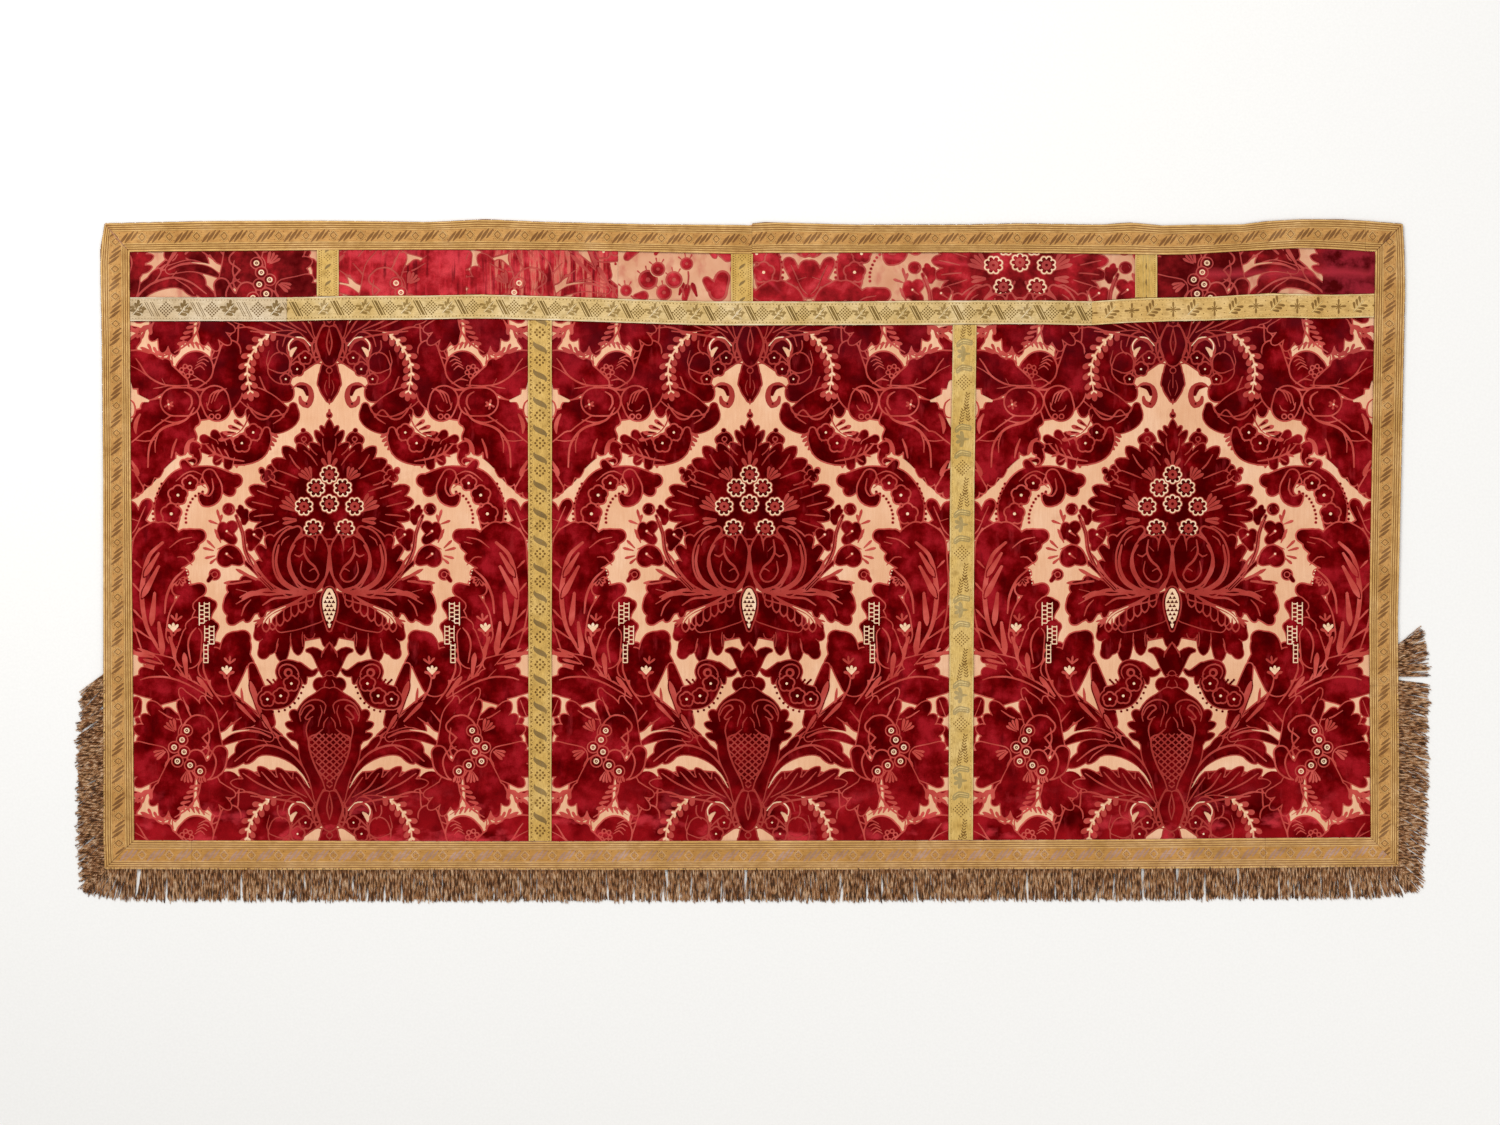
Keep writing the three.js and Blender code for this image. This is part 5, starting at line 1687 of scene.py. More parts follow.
def sprig_tile():
    """The cream cross galloon: brown leaves about slanted stems, and diamonds of holes."""
    pitch, width = 69.0, 36.0
    tile = galloon_tile(pitch, width)
    stripes(tile, pitch, (1.2, 34.8), 1.7)
    edge_holes(tile, pitch, width, 4.2, 4.6, 0.7)
    hole_diamond(tile, 20.0, 18.0, 4, 2.6, 1.4)
    for x in (1.5, 4.5, 62.0, 65.0):
        tile.draw("cream", [[(x - 5.0, 28.5, 0.5), (x + 6.0, 7.5, 0.5)]], 0.0)
    leaf_group(tile, 46.5, 18.0, 128.0, 9.4, 4.4)
    leaf_group(tile, 46.5, 18.0, 48.0, 8.4, 4.0)
    return tile, pitch, width


def star_tile():
    """The right cross galloon: slanted sprigs and four-pointed stars."""
    pitch, width = 62.0, 36.0
    tile = galloon_tile(pitch, width)
    stripes(tile, pitch, (1.2, 34.8), 1.7)
    edge_holes(tile, pitch, width, 4.2, 5.2, 0.6)
    for angle in (0, 90, 180, 270):
        a = np.radians(angle)
        tile.draw("rose", [petal(13 + 1.5 * np.cos(a), 18 + 1.5 * np.sin(a), angle, 9.5, 3.4)])
    for angle in (45, 135, 225, 315):
        tile.draw("cream", [petal(13, 18, angle, 5.5, 1.4)])
    leaf_group(tile, 43.0, 18.0, 46.0, 9.0, 4.0)
    dots(tile, "cream", [(27.5, 11.0), (27.5, 25.0), (58.5, 11.0), (58.5, 25.0)], 0.9)
    return tile, pitch, width


def long_tile():
    """The left long galloon: flowers of round holes and slanted brown leaves."""
    pitch, width = 41.5, 36.0
    tile = galloon_tile(pitch, width)
    stripes(tile, pitch, (1.0, 35.0), 1.5)
    for k in range(6):
        x = pitch * (k + 0.5) / 6
        for v, side in ((3.6, 1), (32.4, -1)):
            bar = [(x - 1.7, v, 0.5), (x + 1.7, v, 0.5)]
            tooth = [(x, v + side * 0.6, 1.1), (x, v + side * 2.4, 0.4)]
            tile.draw("cream", [bar, tooth], 0.0)
            dots(tile, "cream", [(x + pitch / 12, v + side * 2.8)], 0.6)
    places = [
        (9, 13.4), (9, 22.6), (13, 11.0), (13, 18.0), (13, 25.0), (17, 13.4), (17, 22.6), (5.6, 18.0),
        (20.4, 18.0),
    ]
    dots(tile, "cream", places, 1.8)
    leaf = [
        (22.6, 27.0, 0.8), (26.4, 26.4, 2.4), (29.6, 21.6, 3.9), (33.0, 14.6, 3.9), (36.6, 9.8, 2.4),
        (40.4, 9.0, 0.8),
    ]
    tile.draw("rose", [leaf])
    return tile, pitch, width


def herringbone_tile():
    """The right long galloon: a diamond of holes, ears of leaves and a brown three-lobed flower."""
    pitch, width = 128.0, 36.0
    tile = galloon_tile(pitch, width)
    stripes(tile, pitch, (1.0, 35.0), 1.5)
    edge_holes(tile, pitch, width, 4.0, 6.4, 0.55)
    hole_diamond(tile, 14.0, 18.0, 4, 2.7, 1.15)
    for angle in (200, 245, 295, 340):
        tile.draw("rose", [petal(57, 19, angle, 12, 5.6)])
    tile.draw("rose", [[(57, 19, 2.4), (57, 26, 1.2)]])
    for start_x, start_y, lean in ((78.0, 13.5, 16.0), (84.0, 26.0, -10.0), (102.0, 20.5, 14.0)):
        a = np.radians(lean)
        for k in range(6):
            x, y = start_x + 4.4 * k * np.cos(a), start_y + 4.4 * k * np.sin(a) * 0.6
            for side in (-1, 1):
                tile.draw("cream", [petal(x, y, lean + side * 40, 4.8, 1.7)])
    for x in (30.0, 33.0, 69.0, 72.0):
        tile.draw("pile", [line([(x, 8.0), (x + 5.0, 15.0), (x + 3.0, 28.0)], 1.3)])
    return tile, pitch, width


def short_tile():
    """The short galloons of the band: rows of small holes with a faint leaf between."""
    pitch, width = 25.0, 33.0
    tile = galloon_tile(pitch, width)
    stripes(tile, pitch, (1.0, 32.0), 1.5)
    edge_holes(tile, pitch, width, 4.0, 3.6, 0.95, 3.0)
    hole_diamond(tile, 7.5, 16.5, 3, 2.5, 0.9)
    tile.draw("rose", [[(15.0, 12.6, 0.8), (18.0, 15.0, 1.9), (20.4, 18.4, 1.9), (22.4, 20.6, 0.8)]])
    return tile, pitch, width


def plain_tile():
    """The third short galloon: finer holes and hardly a pattern."""
    pitch, width = 24.0, 33.0
    tile = galloon_tile(pitch, width)
    stripes(tile, pitch, (1.0, 32.0), 1.5)
    for v in (4.2, 28.8):
        dots(tile, "cream", [(x + 1.2, v) for x in np.arange(0, pitch, 3.0)], 0.6)
    stripes(tile, pitch, (12.0, 16.5, 21.0), 0.8)
    tile.draw("rose", [[(8, 16.5, 0.6), (12, 16.5, 1.5), (16, 16.5, 0.6)]])
    return tile, pitch, width


# How steep a galloon's threads stand, how deep its holes are, and how broad its waved edge is
THREAD_SLOPE, HOLE_STEP, WAVED_EDGE = 0.25, -0.25, 1.2

# How far apart the loops of a galloon's edge are, and how much of their wave lies inwards
LOOP_PITCH, LOOP_INWARD = 3.4, 0.4


def galloon(node, along, pattern, materials, scallop=0.65):
    """A strip of galloon with its pattern repeated from end to end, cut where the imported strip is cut."""
    tile, pitch, width = pattern
    outline = Outline(node, along)
    window = np.array([[c[along], 0.0 if k < 2 else width] for k, c in enumerate(outline.corners)])
    first = math.floor(window[:, 0].min() / pitch)
    last = math.ceil(window[:, 0].max() / pitch)
    once = relief_lines(tile, ((0.0,), (0.0, THREAD_SLOPE), (0.0,)), 0.11)
    lines = [points + [pitch * k, 0] for k in range(first, last) for points in once]
    lines = [clipped for points in lines for clipped in within(points, window)]
    lines.append(closed_border(window, LOOP_PITCH / 3))
    points, faces = triangulated(lines, grid_points(window, 11.0), window)

    def folded(flat):
        return np.column_stack([flat[:, 0] % pitch, flat[:, 1]])

    kinds = woven_kinds(tile, folded(points[faces].mean(1)))
    levels = GALLOON_LOW, GALLOON_MIDDLE, GALLOON_HIGH
    heights = woven_heights(tile, folded(points), *levels, THREAD_SLOPE, HOLE_STEP)

    def place(flat, raised):
        s, t = flat[:, 0], flat[:, 1] / width
        xy = outline.at(s, t)
        out = (t > 0.5) * 2.0 - 1.0
        edge = np.clip(1 - np.minimum(t, 1 - t) * width / WAVED_EDGE, 0, 1)
        xy[:, 1 - along] += out * edge * scallop * (np.cos(2 * np.pi * s / LOOP_PITCH) - LOOP_INWARD)
        return np.column_stack([xy, GALLOON_BASE + raised])

    return cloth_object(f"{node}_weave", points, faces, kinds, place, heights, 30.0, materials)


def within(points, window):
    """The parts of a line whose points lie in the window."""
    kept = inside_window(points, window)
    if kept.all():
        return [points]
    if not kept.any():
        return []
    turns = np.flatnonzero(np.diff(np.concatenate([[0], kept.astype(int), [0]])))
    return [points[max(a - 1, 0) : b + 1] for a, b in zip(turns[::2], turns[1::2])]


# Materials


def linear(code):
    """A colour from its web code."""
    values = [int(code[k : k + 2], 16) / 255 for k in (1, 3, 5)]
    return [v / 12.92 if v <= 0.04045 else ((v + 0.055) / 1.055) ** 2.4 for v in values] + [1.0]


class Look:
    """One material, built node by node on the place in the cloth."""

    def __init__(self, name, rough, sheen=0.0, tint="#FFFFFF", specular=0.25):
        self.material = bpy.data.materials.new(name)
        self.material.use_nodes = True
        self.tree = self.material.node_tree
        self.shader = self.tree.nodes["Principled BSDF"]
        self.shader.inputs["Roughness"].default_value = rough
        self.shader.inputs["Specular IOR Level"].default_value = specular
        self.shader.inputs["Sheen Weight"].default_value = sheen
        self.shader.inputs["Sheen Roughness"].default_value = 0.45
        self.shader.inputs["Sheen Tint"].default_value = linear(tint)
        self.place = self.tree.nodes.new("ShaderNodeTexCoord").outputs["Object"]

    def node(self, kind, links=None, values=None, **settings):
        item = self.tree.nodes.new(kind)
        for key, value in settings.items():
            setattr(item, key, value)
        for key, value in (values or {}).items():
            item.inputs[key].default_value = value
        for key, value in (links or {}).items():
            self.tree.links.new(value, item.inputs[key])
        return item

    def stretched(self, scale, turn=0.0, shift=(0.0, 0.0, 0.0)):
        values = {"Scale": scale, "Rotation": (0.0, 0.0, turn), "Location": shift}
        return self.node("ShaderNodeMapping", {"Vector": self.place}, values).outputs[0]

    def noise(self, scale, detail=3.0, stretch=None, shift=(0.0, 0.0, 0.0), rough=0.55):
        place = self.stretched(stretch or (1.0, 1.0, 1.0), 0.0, shift)
        values = {"Scale": scale, "Detail": detail, "Roughness": rough}
        return self.node("ShaderNodeTexNoise", {"Vector": place}, values).outputs["Fac"]

    def wave(self, scale, direction, wobble=0.0, turn=0.0):
        values = {"Scale": scale, "Distortion": wobble, "Detail": 2.0, "Detail Scale": 3.0}
        place = self.stretched((1.0, 1.0, 1.0), turn)
        return self.node(
            "ShaderNodeTexWave", {"Vector": place}, values, bands_direction=direction,
        ).outputs["Fac"]

    def spread(self, value, low, high, start=0.0, stop=1.0):
        values = {"From Min": low, "From Max": high, "To Min": start, "To Max": stop}
        return self.node("ShaderNodeMapRange", {"Value": value}, values, clamp=True).outputs[0]

    def times(self, a, b, way="MULTIPLY"):
        item = self.node("ShaderNodeMath", operation=way)
        for socket, value in zip(item.inputs, (a, b)):
            if isinstance(value, (int, float)):
                socket.default_value = value
            else:
                self.tree.links.new(value, socket)
        return item.outputs[0]

    def ramp(self, value, stops):
        item = self.node("ShaderNodeValToRGB", {"Fac": value})
        elements = item.color_ramp.elements
        while len(elements) < len(stops):
            elements.new(0.5)
        for element, (at, code) in zip(elements, stops):
            element.position = at
            element.color = linear(code)
        return item.outputs["Color"]

    def mix(self, share, a, b, way="MIX"):
        item = self.node("ShaderNodeMix", data_type="RGBA", blend_type=way)
        self.tree.links.new(share, item.inputs[0])
        for socket, value in ((item.inputs[6], a), (item.inputs[7], b)):
            if isinstance(value, str):
                socket.default_value = linear(value)
            else:
                self.tree.links.new(value, socket)
        return item.outputs[2]

    def part(self, axis):
        return self.node("ShaderNodeSeparateXYZ", {"Vector": self.place}).outputs[axis]

    def finish(self, colour, bumps):
        self.tree.links.new(colour, self.shader.inputs["Base Color"])
        normal = None
        for height, strength, depth in bumps:
            links = {"Height": height} if normal is None else {"Height": height, "Normal": normal}
            bump = self.node("ShaderNodeBump", links, {"Strength": strength, "Distance": depth})
            normal = bump.outputs["Normal"]
        self.tree.links.new(normal, self.shader.inputs["Normal"])
        return self.material


def panel_reach(look):
    """How far a place lies from the middle line of its panel, 0 at the line and 1 at the seam."""
    half = CLOTH_HALF * MM
    ping = look.times(look.part("X"), half, "PINGPONG")
    return look.spread(ping, 0.0, half)


def dust_and_crush_sheen(look, colour, top_tone, foot_sheen_tone):
    """The panels' tops are dusty in blotches; their feet, where the nap is crushed, get a painted sheen of
    brighter red blotches and painted highlights.
    """
    height = look.part("Y")
    patch = look.noise(16.0, 3.0, None, (3.1, 0.4, 0.0))
    top = look.times(look.spread(height, 0.20, 0.36), look.spread(patch, 0.40, 0.60))
    top = look.times(top, look.spread(height, 0.375, 0.385, 1.0, 0.0))
    foot = look.times(look.spread(height, -0.26, -0.40), look.spread(patch, 0.62, 0.46))
    colour = look.mix(look.times(top, 0.45), colour, top_tone)
    # Painted sheen: brighter red blotches at the feet, where the crushed nap would catch the light
    colour = look.mix(look.times(foot, 0.55), colour, foot_sheen_tone)
    # Painted highlights: bright patches of crushed nap low on the feet
    crushed = look.noise(30.0, 4.0, (0.6, 1.0, 1.0), (9.0, 4.0, 0.0))
    crushed = look.times(look.spread(crushed, 0.54, 0.66), look.spread(height, -0.33, -0.39))
    return look.mix(look.times(crushed, 0.75), colour, "#DC3C46")


def pile_look():
    look = Look("velvet_pile", 0.95, 0.1, "#C01018", 0.0)
    patches = look.noise(24.0, 5.0, None, (0.0, 0.0, 0.0), 0.62)
    outward = look.times(look.spread(panel_reach(look), 0.10, 0.90), 0.15)
    level = look.times(look.times(patches, outward, "ADD"), 0.085, "SUBTRACT")
    tones = [(0.34, "#460001"), (0.44, "#5C0103"), (0.50, "#6E0306"), (0.57, "#860B11"), (0.68, "#A81A24")]
    colour = look.ramp(level, tones)
    streaks = look.noise(60.0, 4.0, (1.0, 0.3, 1.0), (7.0, 2.0, 0.0))
    colour = look.mix(look.spread(streaks, 0.60, 0.74, 0.0, 0.5), colour, "#B02A30")
    colour = look.mix(look.spread(streaks, 0.42, 0.30, 0.0, 0.5), colour, "#3A0002")
    # Dust at the tops, and a painted sheen and painted highlights on the crushed nap at the feet
    colour = dust_and_crush_sheen(look, colour, "#6A1620", "#B0181F")
    nap = look.noise(900.0, 2.0)
    colour = look.mix(look.spread(nap, 0.30, 0.70, 0.40, 0.0), colour, "#2E0002")
    return look.finish(colour, [(nap, 0.45, 0.0006), (look.noise(70.0, 3.0), 0.25, 0.002)])


def loop_look():
    look = Look("velvet_loops", 0.8, 0.05, "#F08080", 0.08)
    patches = look.noise(30.0, 3.0)
    colour = look.ramp(patches, [(0.32, "#B23C34"), (0.5, "#C44C42"), (0.68, "#D66056")])
    # Dust at the tops, and a painted sheen and painted highlights on the crushed nap at the feet
    colour = dust_and_crush_sheen(look, colour, "#A44A4C", "#D25850")
    colour = look.mix(look.spread(panel_reach(look), 0.60, 0.05, 0.0, 0.65), colour, "#8E2620")
    ribs = look.wave(300.0, "Y", 1.0)
    colour = look.mix(look.spread(ribs, 0.0, 1.0, 0.3, 0.0), colour, "#98241E")
    return look.finish(colour, [(ribs, 0.35, 0.0005), (look.noise(600.0, 2.0), 0.2, 0.0004)])


def satin_look():
    look = Look("satin_ground", 0.6, 0.05, "#FFE0C0", 0.15)
    patches = look.noise(12.0, 4.0)
    colour = look.ramp(patches, [(0.3, "#E2AC84"), (0.5, "#EAB892"), (0.7, "#F0C4A2")])
    stain = look.noise(34.0, 4.0, None, (2.0, 5.0, 0.0))
    colour = look.mix(look.spread(stain, 0.58, 0.78, 0.0, 0.4), colour, "#C88E6C")
    weft = look.wave(420.0, "Y", 0.8)
    warp = look.noise(500.0, 2.0, (1.0, 0.08, 1.0))
    colour = look.mix(look.spread(warp, 0.35, 0.7, 0.25, 0.0), colour, "#CC8C64")
    return look.finish(colour, [(weft, 0.2, 0.0003), (warp, 0.2, 0.0003)])


def cream_look():
    look = Look("cream_thread", 0.7, 0.0, "#FFFFFF", 0.15)
    colour = look.ramp(look.noise(60.0, 3.0), [(0.3, "#E8BE96"), (0.55, "#F2CCA8"), (0.75, "#FADCC0")])
    ribs = look.wave(300.0, "Y", 1.0)
    return look.finish(colour, [(ribs, 0.3, 0.0004)])


# Painted highlights along creases of the band, in metres: where each starts and ends, and half its width
PAINTED_CREASE_HIGHLIGHTS = [
    (0.18, 0.461, 0.38, 0.441, 0.004),
    (0.66, 0.434, 0.94, 0.432, 0.011),
    (0.0, 0.445, 0.05, 0.40, 0.005),
]


def painted_crease_highlight(look, x0, y0, x1, y1, half):
    """How strongly a painted highlight along a crease of the band falls at each place."""
    slope = (y1 - y0) / (x1 - x0)
    ramble = look.times(look.noise(12.0, 3.0, None, (x0, 1.0, 0.0)), 0.016)
    level = look.times(look.times(look.part("X"), slope), y0 - slope * x0 - 0.008, "ADD")
    away = look.times(look.times(
        look.part("Y"), look.times(level, ramble, "ADD"), "SUBTRACT",
    ), 1.0, "ABSOLUTE")
    line_share = look.spread(away, 0.0, half, 1.0, 0.0)
    first = look.spread(look.part("X"), x0, x0 + 0.02)
    last = look.spread(look.part("X"), x1 - 0.02, x1, 1.0, 0.0)
    return look.times(line_share, look.times(first, last))


def band_pile_look():
    """Pile of the band: its scraps are of differing redness from left to right."""
    look = Look("band_pile", 0.95, 0.1, "#C01018", 0.0)
    across = look.part("X")
    bright = look.times(look.spread(across, -0.648, -0.636), look.spread(across, -0.30, -0.04, 1.0, 0.72))
    bright = look.times(bright, look.spread(across, 0.10, 0.45, 1.0, 0.40))
    bright = look.times(bright, look.spread(across, 0.585, 0.60, 1.0, 0.0))
    patches = look.noise(30.0, 5.0, None, (0.0, 0.0, 0.0), 0.62)
    level = look.times(patches, look.times(bright, 0.22), "ADD")
    level = look.times(level, look.spread(across, 0.585, 0.60, 0.02, 0.07), "SUBTRACT")
    tones = [(0.34, "#4E0608"), (0.44, "#681012"), (0.54, "#8A181C"), (0.66, "#B02028"), (0.82, "#DC424A")]
    colour = look.ramp(level, tones)
    slashes = look.noise(150.0, 3.0, (1.0, 0.08, 1.0), (1.0, 3.0, 0.0))
    worn = look.times(look.spread(across, -0.40, -0.38), look.spread(across, -0.22, -0.20, 1.0, 0.0))
    colour = look.mix(look.times(worn, look.spread(slashes, 0.50, 0.58, 0.0, 0.7)), colour, "#E08A72")
    second = look.times(look.spread(across, -0.64, -0.63), look.spread(across, -0.21, -0.20, 1.0, 0.0))
    colour = look.mix(look.times(second, look.spread(slashes, 0.46, 0.34, 0.0, 0.75)), colour, "#4A080C")
    colour = look.mix(look.times(second, look.spread(slashes, 0.58, 0.68, 0.0, 0.6)), colour, "#E63A46")
    height = look.part("Y")
    edge = look.times(look.spread(height, 0.444, 0.458), look.spread(patches, 0.38, 0.56))
    colour = look.mix(look.times(edge, look.times(bright, 0.5)), colour, "#DC404C")
    # Painted highlights along the band's creases: brighter red lines that stand in for light on the folds
    for crease in PAINTED_CREASE_HIGHLIGHTS:
        colour = look.mix(look.times(painted_crease_highlight(look, *crease), 0.6), colour, "#D43C48")
    crushed = look.times(look.spread(across, 0.845, 0.875), look.spread(patches, 0.38, 0.54))
    colour = look.mix(look.times(crushed, 0.6), colour, "#A82C3C")
    nap = look.noise(900.0, 2.0)
    colour = look.mix(look.spread(nap, 0.30, 0.70, 0.35, 0.0), colour, "#3A0406")
    return look.finish(colour, [(nap, 0.45, 0.0006), (look.noise(70.0, 3.0), 0.25, 0.002)])


def band_loop_look():
    look = Look("band_loops", 0.8, 0.05, "#F08080", 0.08)
    patches = look.noise(30.0, 3.0)
    colour = look.ramp(patches, [(0.32, "#A63C3A"), (0.5, "#B84A44"), (0.68, "#C85C54")])
    ribs = look.wave(300.0, "Y", 1.0)
    colour = look.mix(look.spread(ribs, 0.0, 1.0, 0.3, 0.0), colour, "#8C2420")
    return look.finish(colour, [(ribs, 0.35, 0.0005), (look.noise(600.0, 2.0), 0.2, 0.0004)])


def band_satin_look():
    look = Look("band_ground", 0.6, 0.05, "#FFE0C0", 0.12)
    patches = look.noise(20.0, 4.0)
    colour = look.ramp(patches, [(0.3, "#CC8E6C"), (0.5, "#D69E7C"), (0.7, "#E0AE8C")])
    rubbed = look.noise(60.0, 4.0, (1.0, 0.5, 1.0), (2.0, 5.0, 0.0))
    colour = look.mix(look.spread(rubbed, 0.52, 0.70, 0.0, 0.6), colour, "#BC5C50")
    weft = look.wave(420.0, "Y", 0.8)
    return look.finish(colour, [(weft, 0.2, 0.0003)])


def velvet_back_look():
    look = Look("velvet_underside", 0.85, 0.05, "#FFFFFF", 0.2)
    colour = look.ramp(look.noise(20.0, 4.0), [(0.3, "#94504A"), (0.5, "#A86858"), (0.7, "#BC8068")])
    weft = look.wave(380.0, "Y", 0.6)
    warp = look.wave(380.0, "X", 0.6)
    colour = look.mix(look.spread(weft, 0.0, 1.0, 0.3, 0.0), colour, "#7C3A38")
    return look.finish(colour, [(weft, 0.3, 0.0004), (warp, 0.2, 0.0004)])


def thread_look(name, tones, shade, spots=0.5, across="X", fine=420.0):
    """Woven galloon thread: streaked along the weft, tarnished in patches."""
    look = Look(name, 0.6, 0.05, "#FFF0C0", 0.18)
    patches = look.noise(18.0, 4.0)
    colour = look.ramp(patches, [(0.30, tones[0]), (0.5, tones[1]), (0.70, tones[2])])
    tarnish = look.noise(90.0, 4.0, None, (1.0, 8.0, 0.0))
    colour = look.mix(look.spread(tarnish, 0.50, 0.72, 0.0, spots), colour, shade)
    grain = look.noise(700.0, 2.0, (1.0, 0.15, 1.0) if across == "Y" else (0.15, 1.0, 1.0))
    colour = look.mix(look.spread(grain, 0.3, 0.7, 0.45, 0.0), colour, shade)
    ribs = look.wave(fine, across, 1.2)
    return look.finish(colour, [(ribs, 0.4, 0.0005), (grain, 0.3, 0.0004)])


def galloon_looks(name, ground, ribs, leaf, hole_shade, back, shade, across="X"):
    """The materials of one galloon, in the order of the face marks."""
    return [
        thread_look(f"{name}_raised", ribs, shade, 0.3, across),
        thread_look(f"{name}_leaf", leaf, shade, 0.4, across),
        thread_look(f"{name}_ground", ground, shade, 0.45, across),
        # The holes and sunken marks get dark brown tones: painted shade in the hollows
        thread_look(f"{name}_dots", hole_shade, shade, 0.2, across),
        thread_look(f"{name}_underside", back, shade, 0.3, across),
    ]


# The fringe


# A fringe cord: the rings of corners along it and the corners of a ring, how much it thins towards its
# end and swells at each turn of its twist, how flat it lies, and how far it turns from ring to ring
CORD_RINGS, CORD_SIDES = 8, 3
CORD_THINNING, CORD_SWELL = 0.25, 0.14
CORD_FLATNESS, CORD_TURN = 0.45, 0.9
CORD_CLEARANCE = 0.05


def fringe_cord(vertices, faces, root, angle, length, bend, thick, twist, high):
    """One twisted cord: a flat bundle of threads that turns as it runs."""
    start = len(vertices)
    x, y = root
    step = length / (CORD_RINGS - 1)
    for k in range(CORD_RINGS):
        t = k / (CORD_RINGS - 1)
        way = angle + bend * t * t
        if k:
            x += step * math.cos(way)
            y += step * math.sin(way)
        size = thick * (1.0 - CORD_THINNING * t * t) * (1 + CORD_SWELL * math.sin(5.1 * k + twist))
        z = high * (1 - t) ** 1.5 + size * 0.5 + CORD_CLEARANCE
        for side in range(CORD_SIDES):
            a = 2 * math.pi * side / CORD_SIDES + twist + CORD_TURN * k
            u = size * 0.5 * math.cos(a)
            w = size * CORD_FLATNESS * math.sin(a)
            vertices.append((x + math.sin(way) * u, y - math.cos(way) * u, z + w))
    tube_faces(faces, start, CORD_RINGS, CORD_SIDES)
    end = start + (CORD_RINGS - 1) * CORD_SIDES
    faces += [(start, start + 2, start + 1), (end, end + 1, end + 2)]


def tube_faces(faces, start, rings, sides):
    """The triangles between rings of corners that follow one another."""
    for k in range(rings - 1):
        for side in range(sides):
            a = start + k * sides + side
            b = start + k * sides + (side + 1) % sides
            faces.append((a, b, b + sides))
            faces.append((a, b + sides, a + sides))


# The heading's section: how far each corner lies inside the border's edge, and its height
HEADING_CORNERS = [(1.9, 0.1), (9.9, 0.1), (9.9, 1.7), (1.9, 1.7)]
HEADING_STATIONS = 90


def heading_strip(vertices, faces, path, start, stop):
    """The narrow woven heading that the cords hang from, under the border."""
    for s in np.linspace(start, stop, HEADING_STATIONS):
        for inset, z in HEADING_CORNERS:
            vertices.append((*path(s, inset), z))
    tube_faces(faces, 0, HEADING_STATIONS, 4)
    last = 4 * (HEADING_STATIONS - 1)
    faces += [(0, 2, 1), (0, 3, 2), (last, last + 1, last + 2), (last, last + 2, last + 3)]


# Fringe cords in millimetres and degrees: length, thickness, spacing, how far inside the border's edge
# they start, the width of a clump, and how much a clump draws its cords together
CORD_LENGTH, CORD_THICK, CORD_PITCH, CORD_INSET = 48.0, 1.95, 0.6, 2.4
CLUMP, CLUMP_DRAW = 7.0, 1.8


def fringe(node, start, stop, path, hang, bare, seed, material, draw_sign=1.0):
    """A row of clumped cords along one side."""
    chance = np.random.default_rng(seed)
    vertices, faces = [], []
    heading_strip(vertices, faces, path, start, stop)
    places, angles = np.array(hang).T
    onward = np.sign(stop - start)
    s = start + 1.5 * onward
    layer = 0
    while abs(s - start) < abs(stop - start) - 1:
        middle = (math.floor(s / CLUMP) + 0.5) * CLUMP
        pull = (middle - s) / CLUMP
        lean = np.interp(s, places, angles) + 2.4 * math.sin(middle * 0.61) + 1.2 * math.sin(middle * 0.23)
        draw = CLUMP_DRAW * pull * draw_sign
        if not any(a < s < b for a, b in bare):
            length = CORD_LENGTH + 1.8 * math.sin(middle * 0.37) + chance.normal(0, 1.6)
            angle = math.radians(lean + draw + chance.normal(0, 4.5))
            bend = chance.normal(0, 0.09)
            thick = CORD_THICK + chance.normal(0, 0.2)
            twist = chance.uniform(0, 6)
            high = 0.5 + 0.75 * layer
            fringe_cord(vertices, faces, path(s, CORD_INSET), angle, length, bend, thick, twist, high)
        layer = (layer + 1) % 3
        s += onward * (CORD_PITCH + chance.uniform(-0.2, 0.2))
    kinds = np.zeros(len(faces), int)
    return mesh_object(f"{node}_cords", np.array(vertices), np.array(faces), kinds, [material], 60)


def fringe_look(name, stretch):
    """Brown metal thread: streaked along its cords, with painted shade in the gaps between cords and painted
    highlights on them.
    """
    look = Look(name, 0.6, 0.05, "#FFE0A0", 0.2)
    patches = look.noise(45.0, 4.0)
    colour = look.ramp(patches, [(0.30, "#8A5A34"), (0.45, "#A06A40"), (0.58, "#B27E50"), (0.74, "#C89A70")])
    cords = look.noise(420.0, 2.0, stretch, (0.3, 0.0, 0.0), 0.4)
    # Painted shade in the gaps between the cords
    colour = look.mix(look.spread(cords, 0.41, 0.49, 0.85, 0.0), colour, "#30180A")
    # Painted highlights along the cords
    colour = look.mix(look.spread(cords, 0.54, 0.64, 0.0, 0.8), colour, "#E0BE9A")
    twist = look.noise(800.0, 2.0)
    colour = look.mix(look.spread(twist, 0.40, 0.60, 0.35, 0.0), colour, "#3A2010")
    return look.finish(colour, [(cords, 0.5, 0.0008), (twist, 0.3, 0.0004)])


# Floor, light and camera


def stage():
    """A sheet of white paper just under the cloth."""
    mesh = bpy.data.meshes.new("floor")
    reach = 4.0
    below = -0.0005
    corners = [(-reach, -reach, below), (reach, -reach, below), (reach, reach, below), (-reach, reach, below)]
    mesh.from_pydata(corners, [], [(0, 1, 2, 3)])
    floor = bpy.data.objects.new("floor", mesh)
    bpy.context.scene.collection.objects.link(floor)
    look = Look("floor_paper", 0.9, 0.0, "#FFFFFF", 0.1)
    paper = look.noise(300.0, 2.0)
    colour = look.ramp(paper, [(0.3, "#F4F3F1"), (0.7, "#F8F7F5")])
    mesh.materials.append(look.finish(colour, [(paper, 0.05, 0.0003)]))


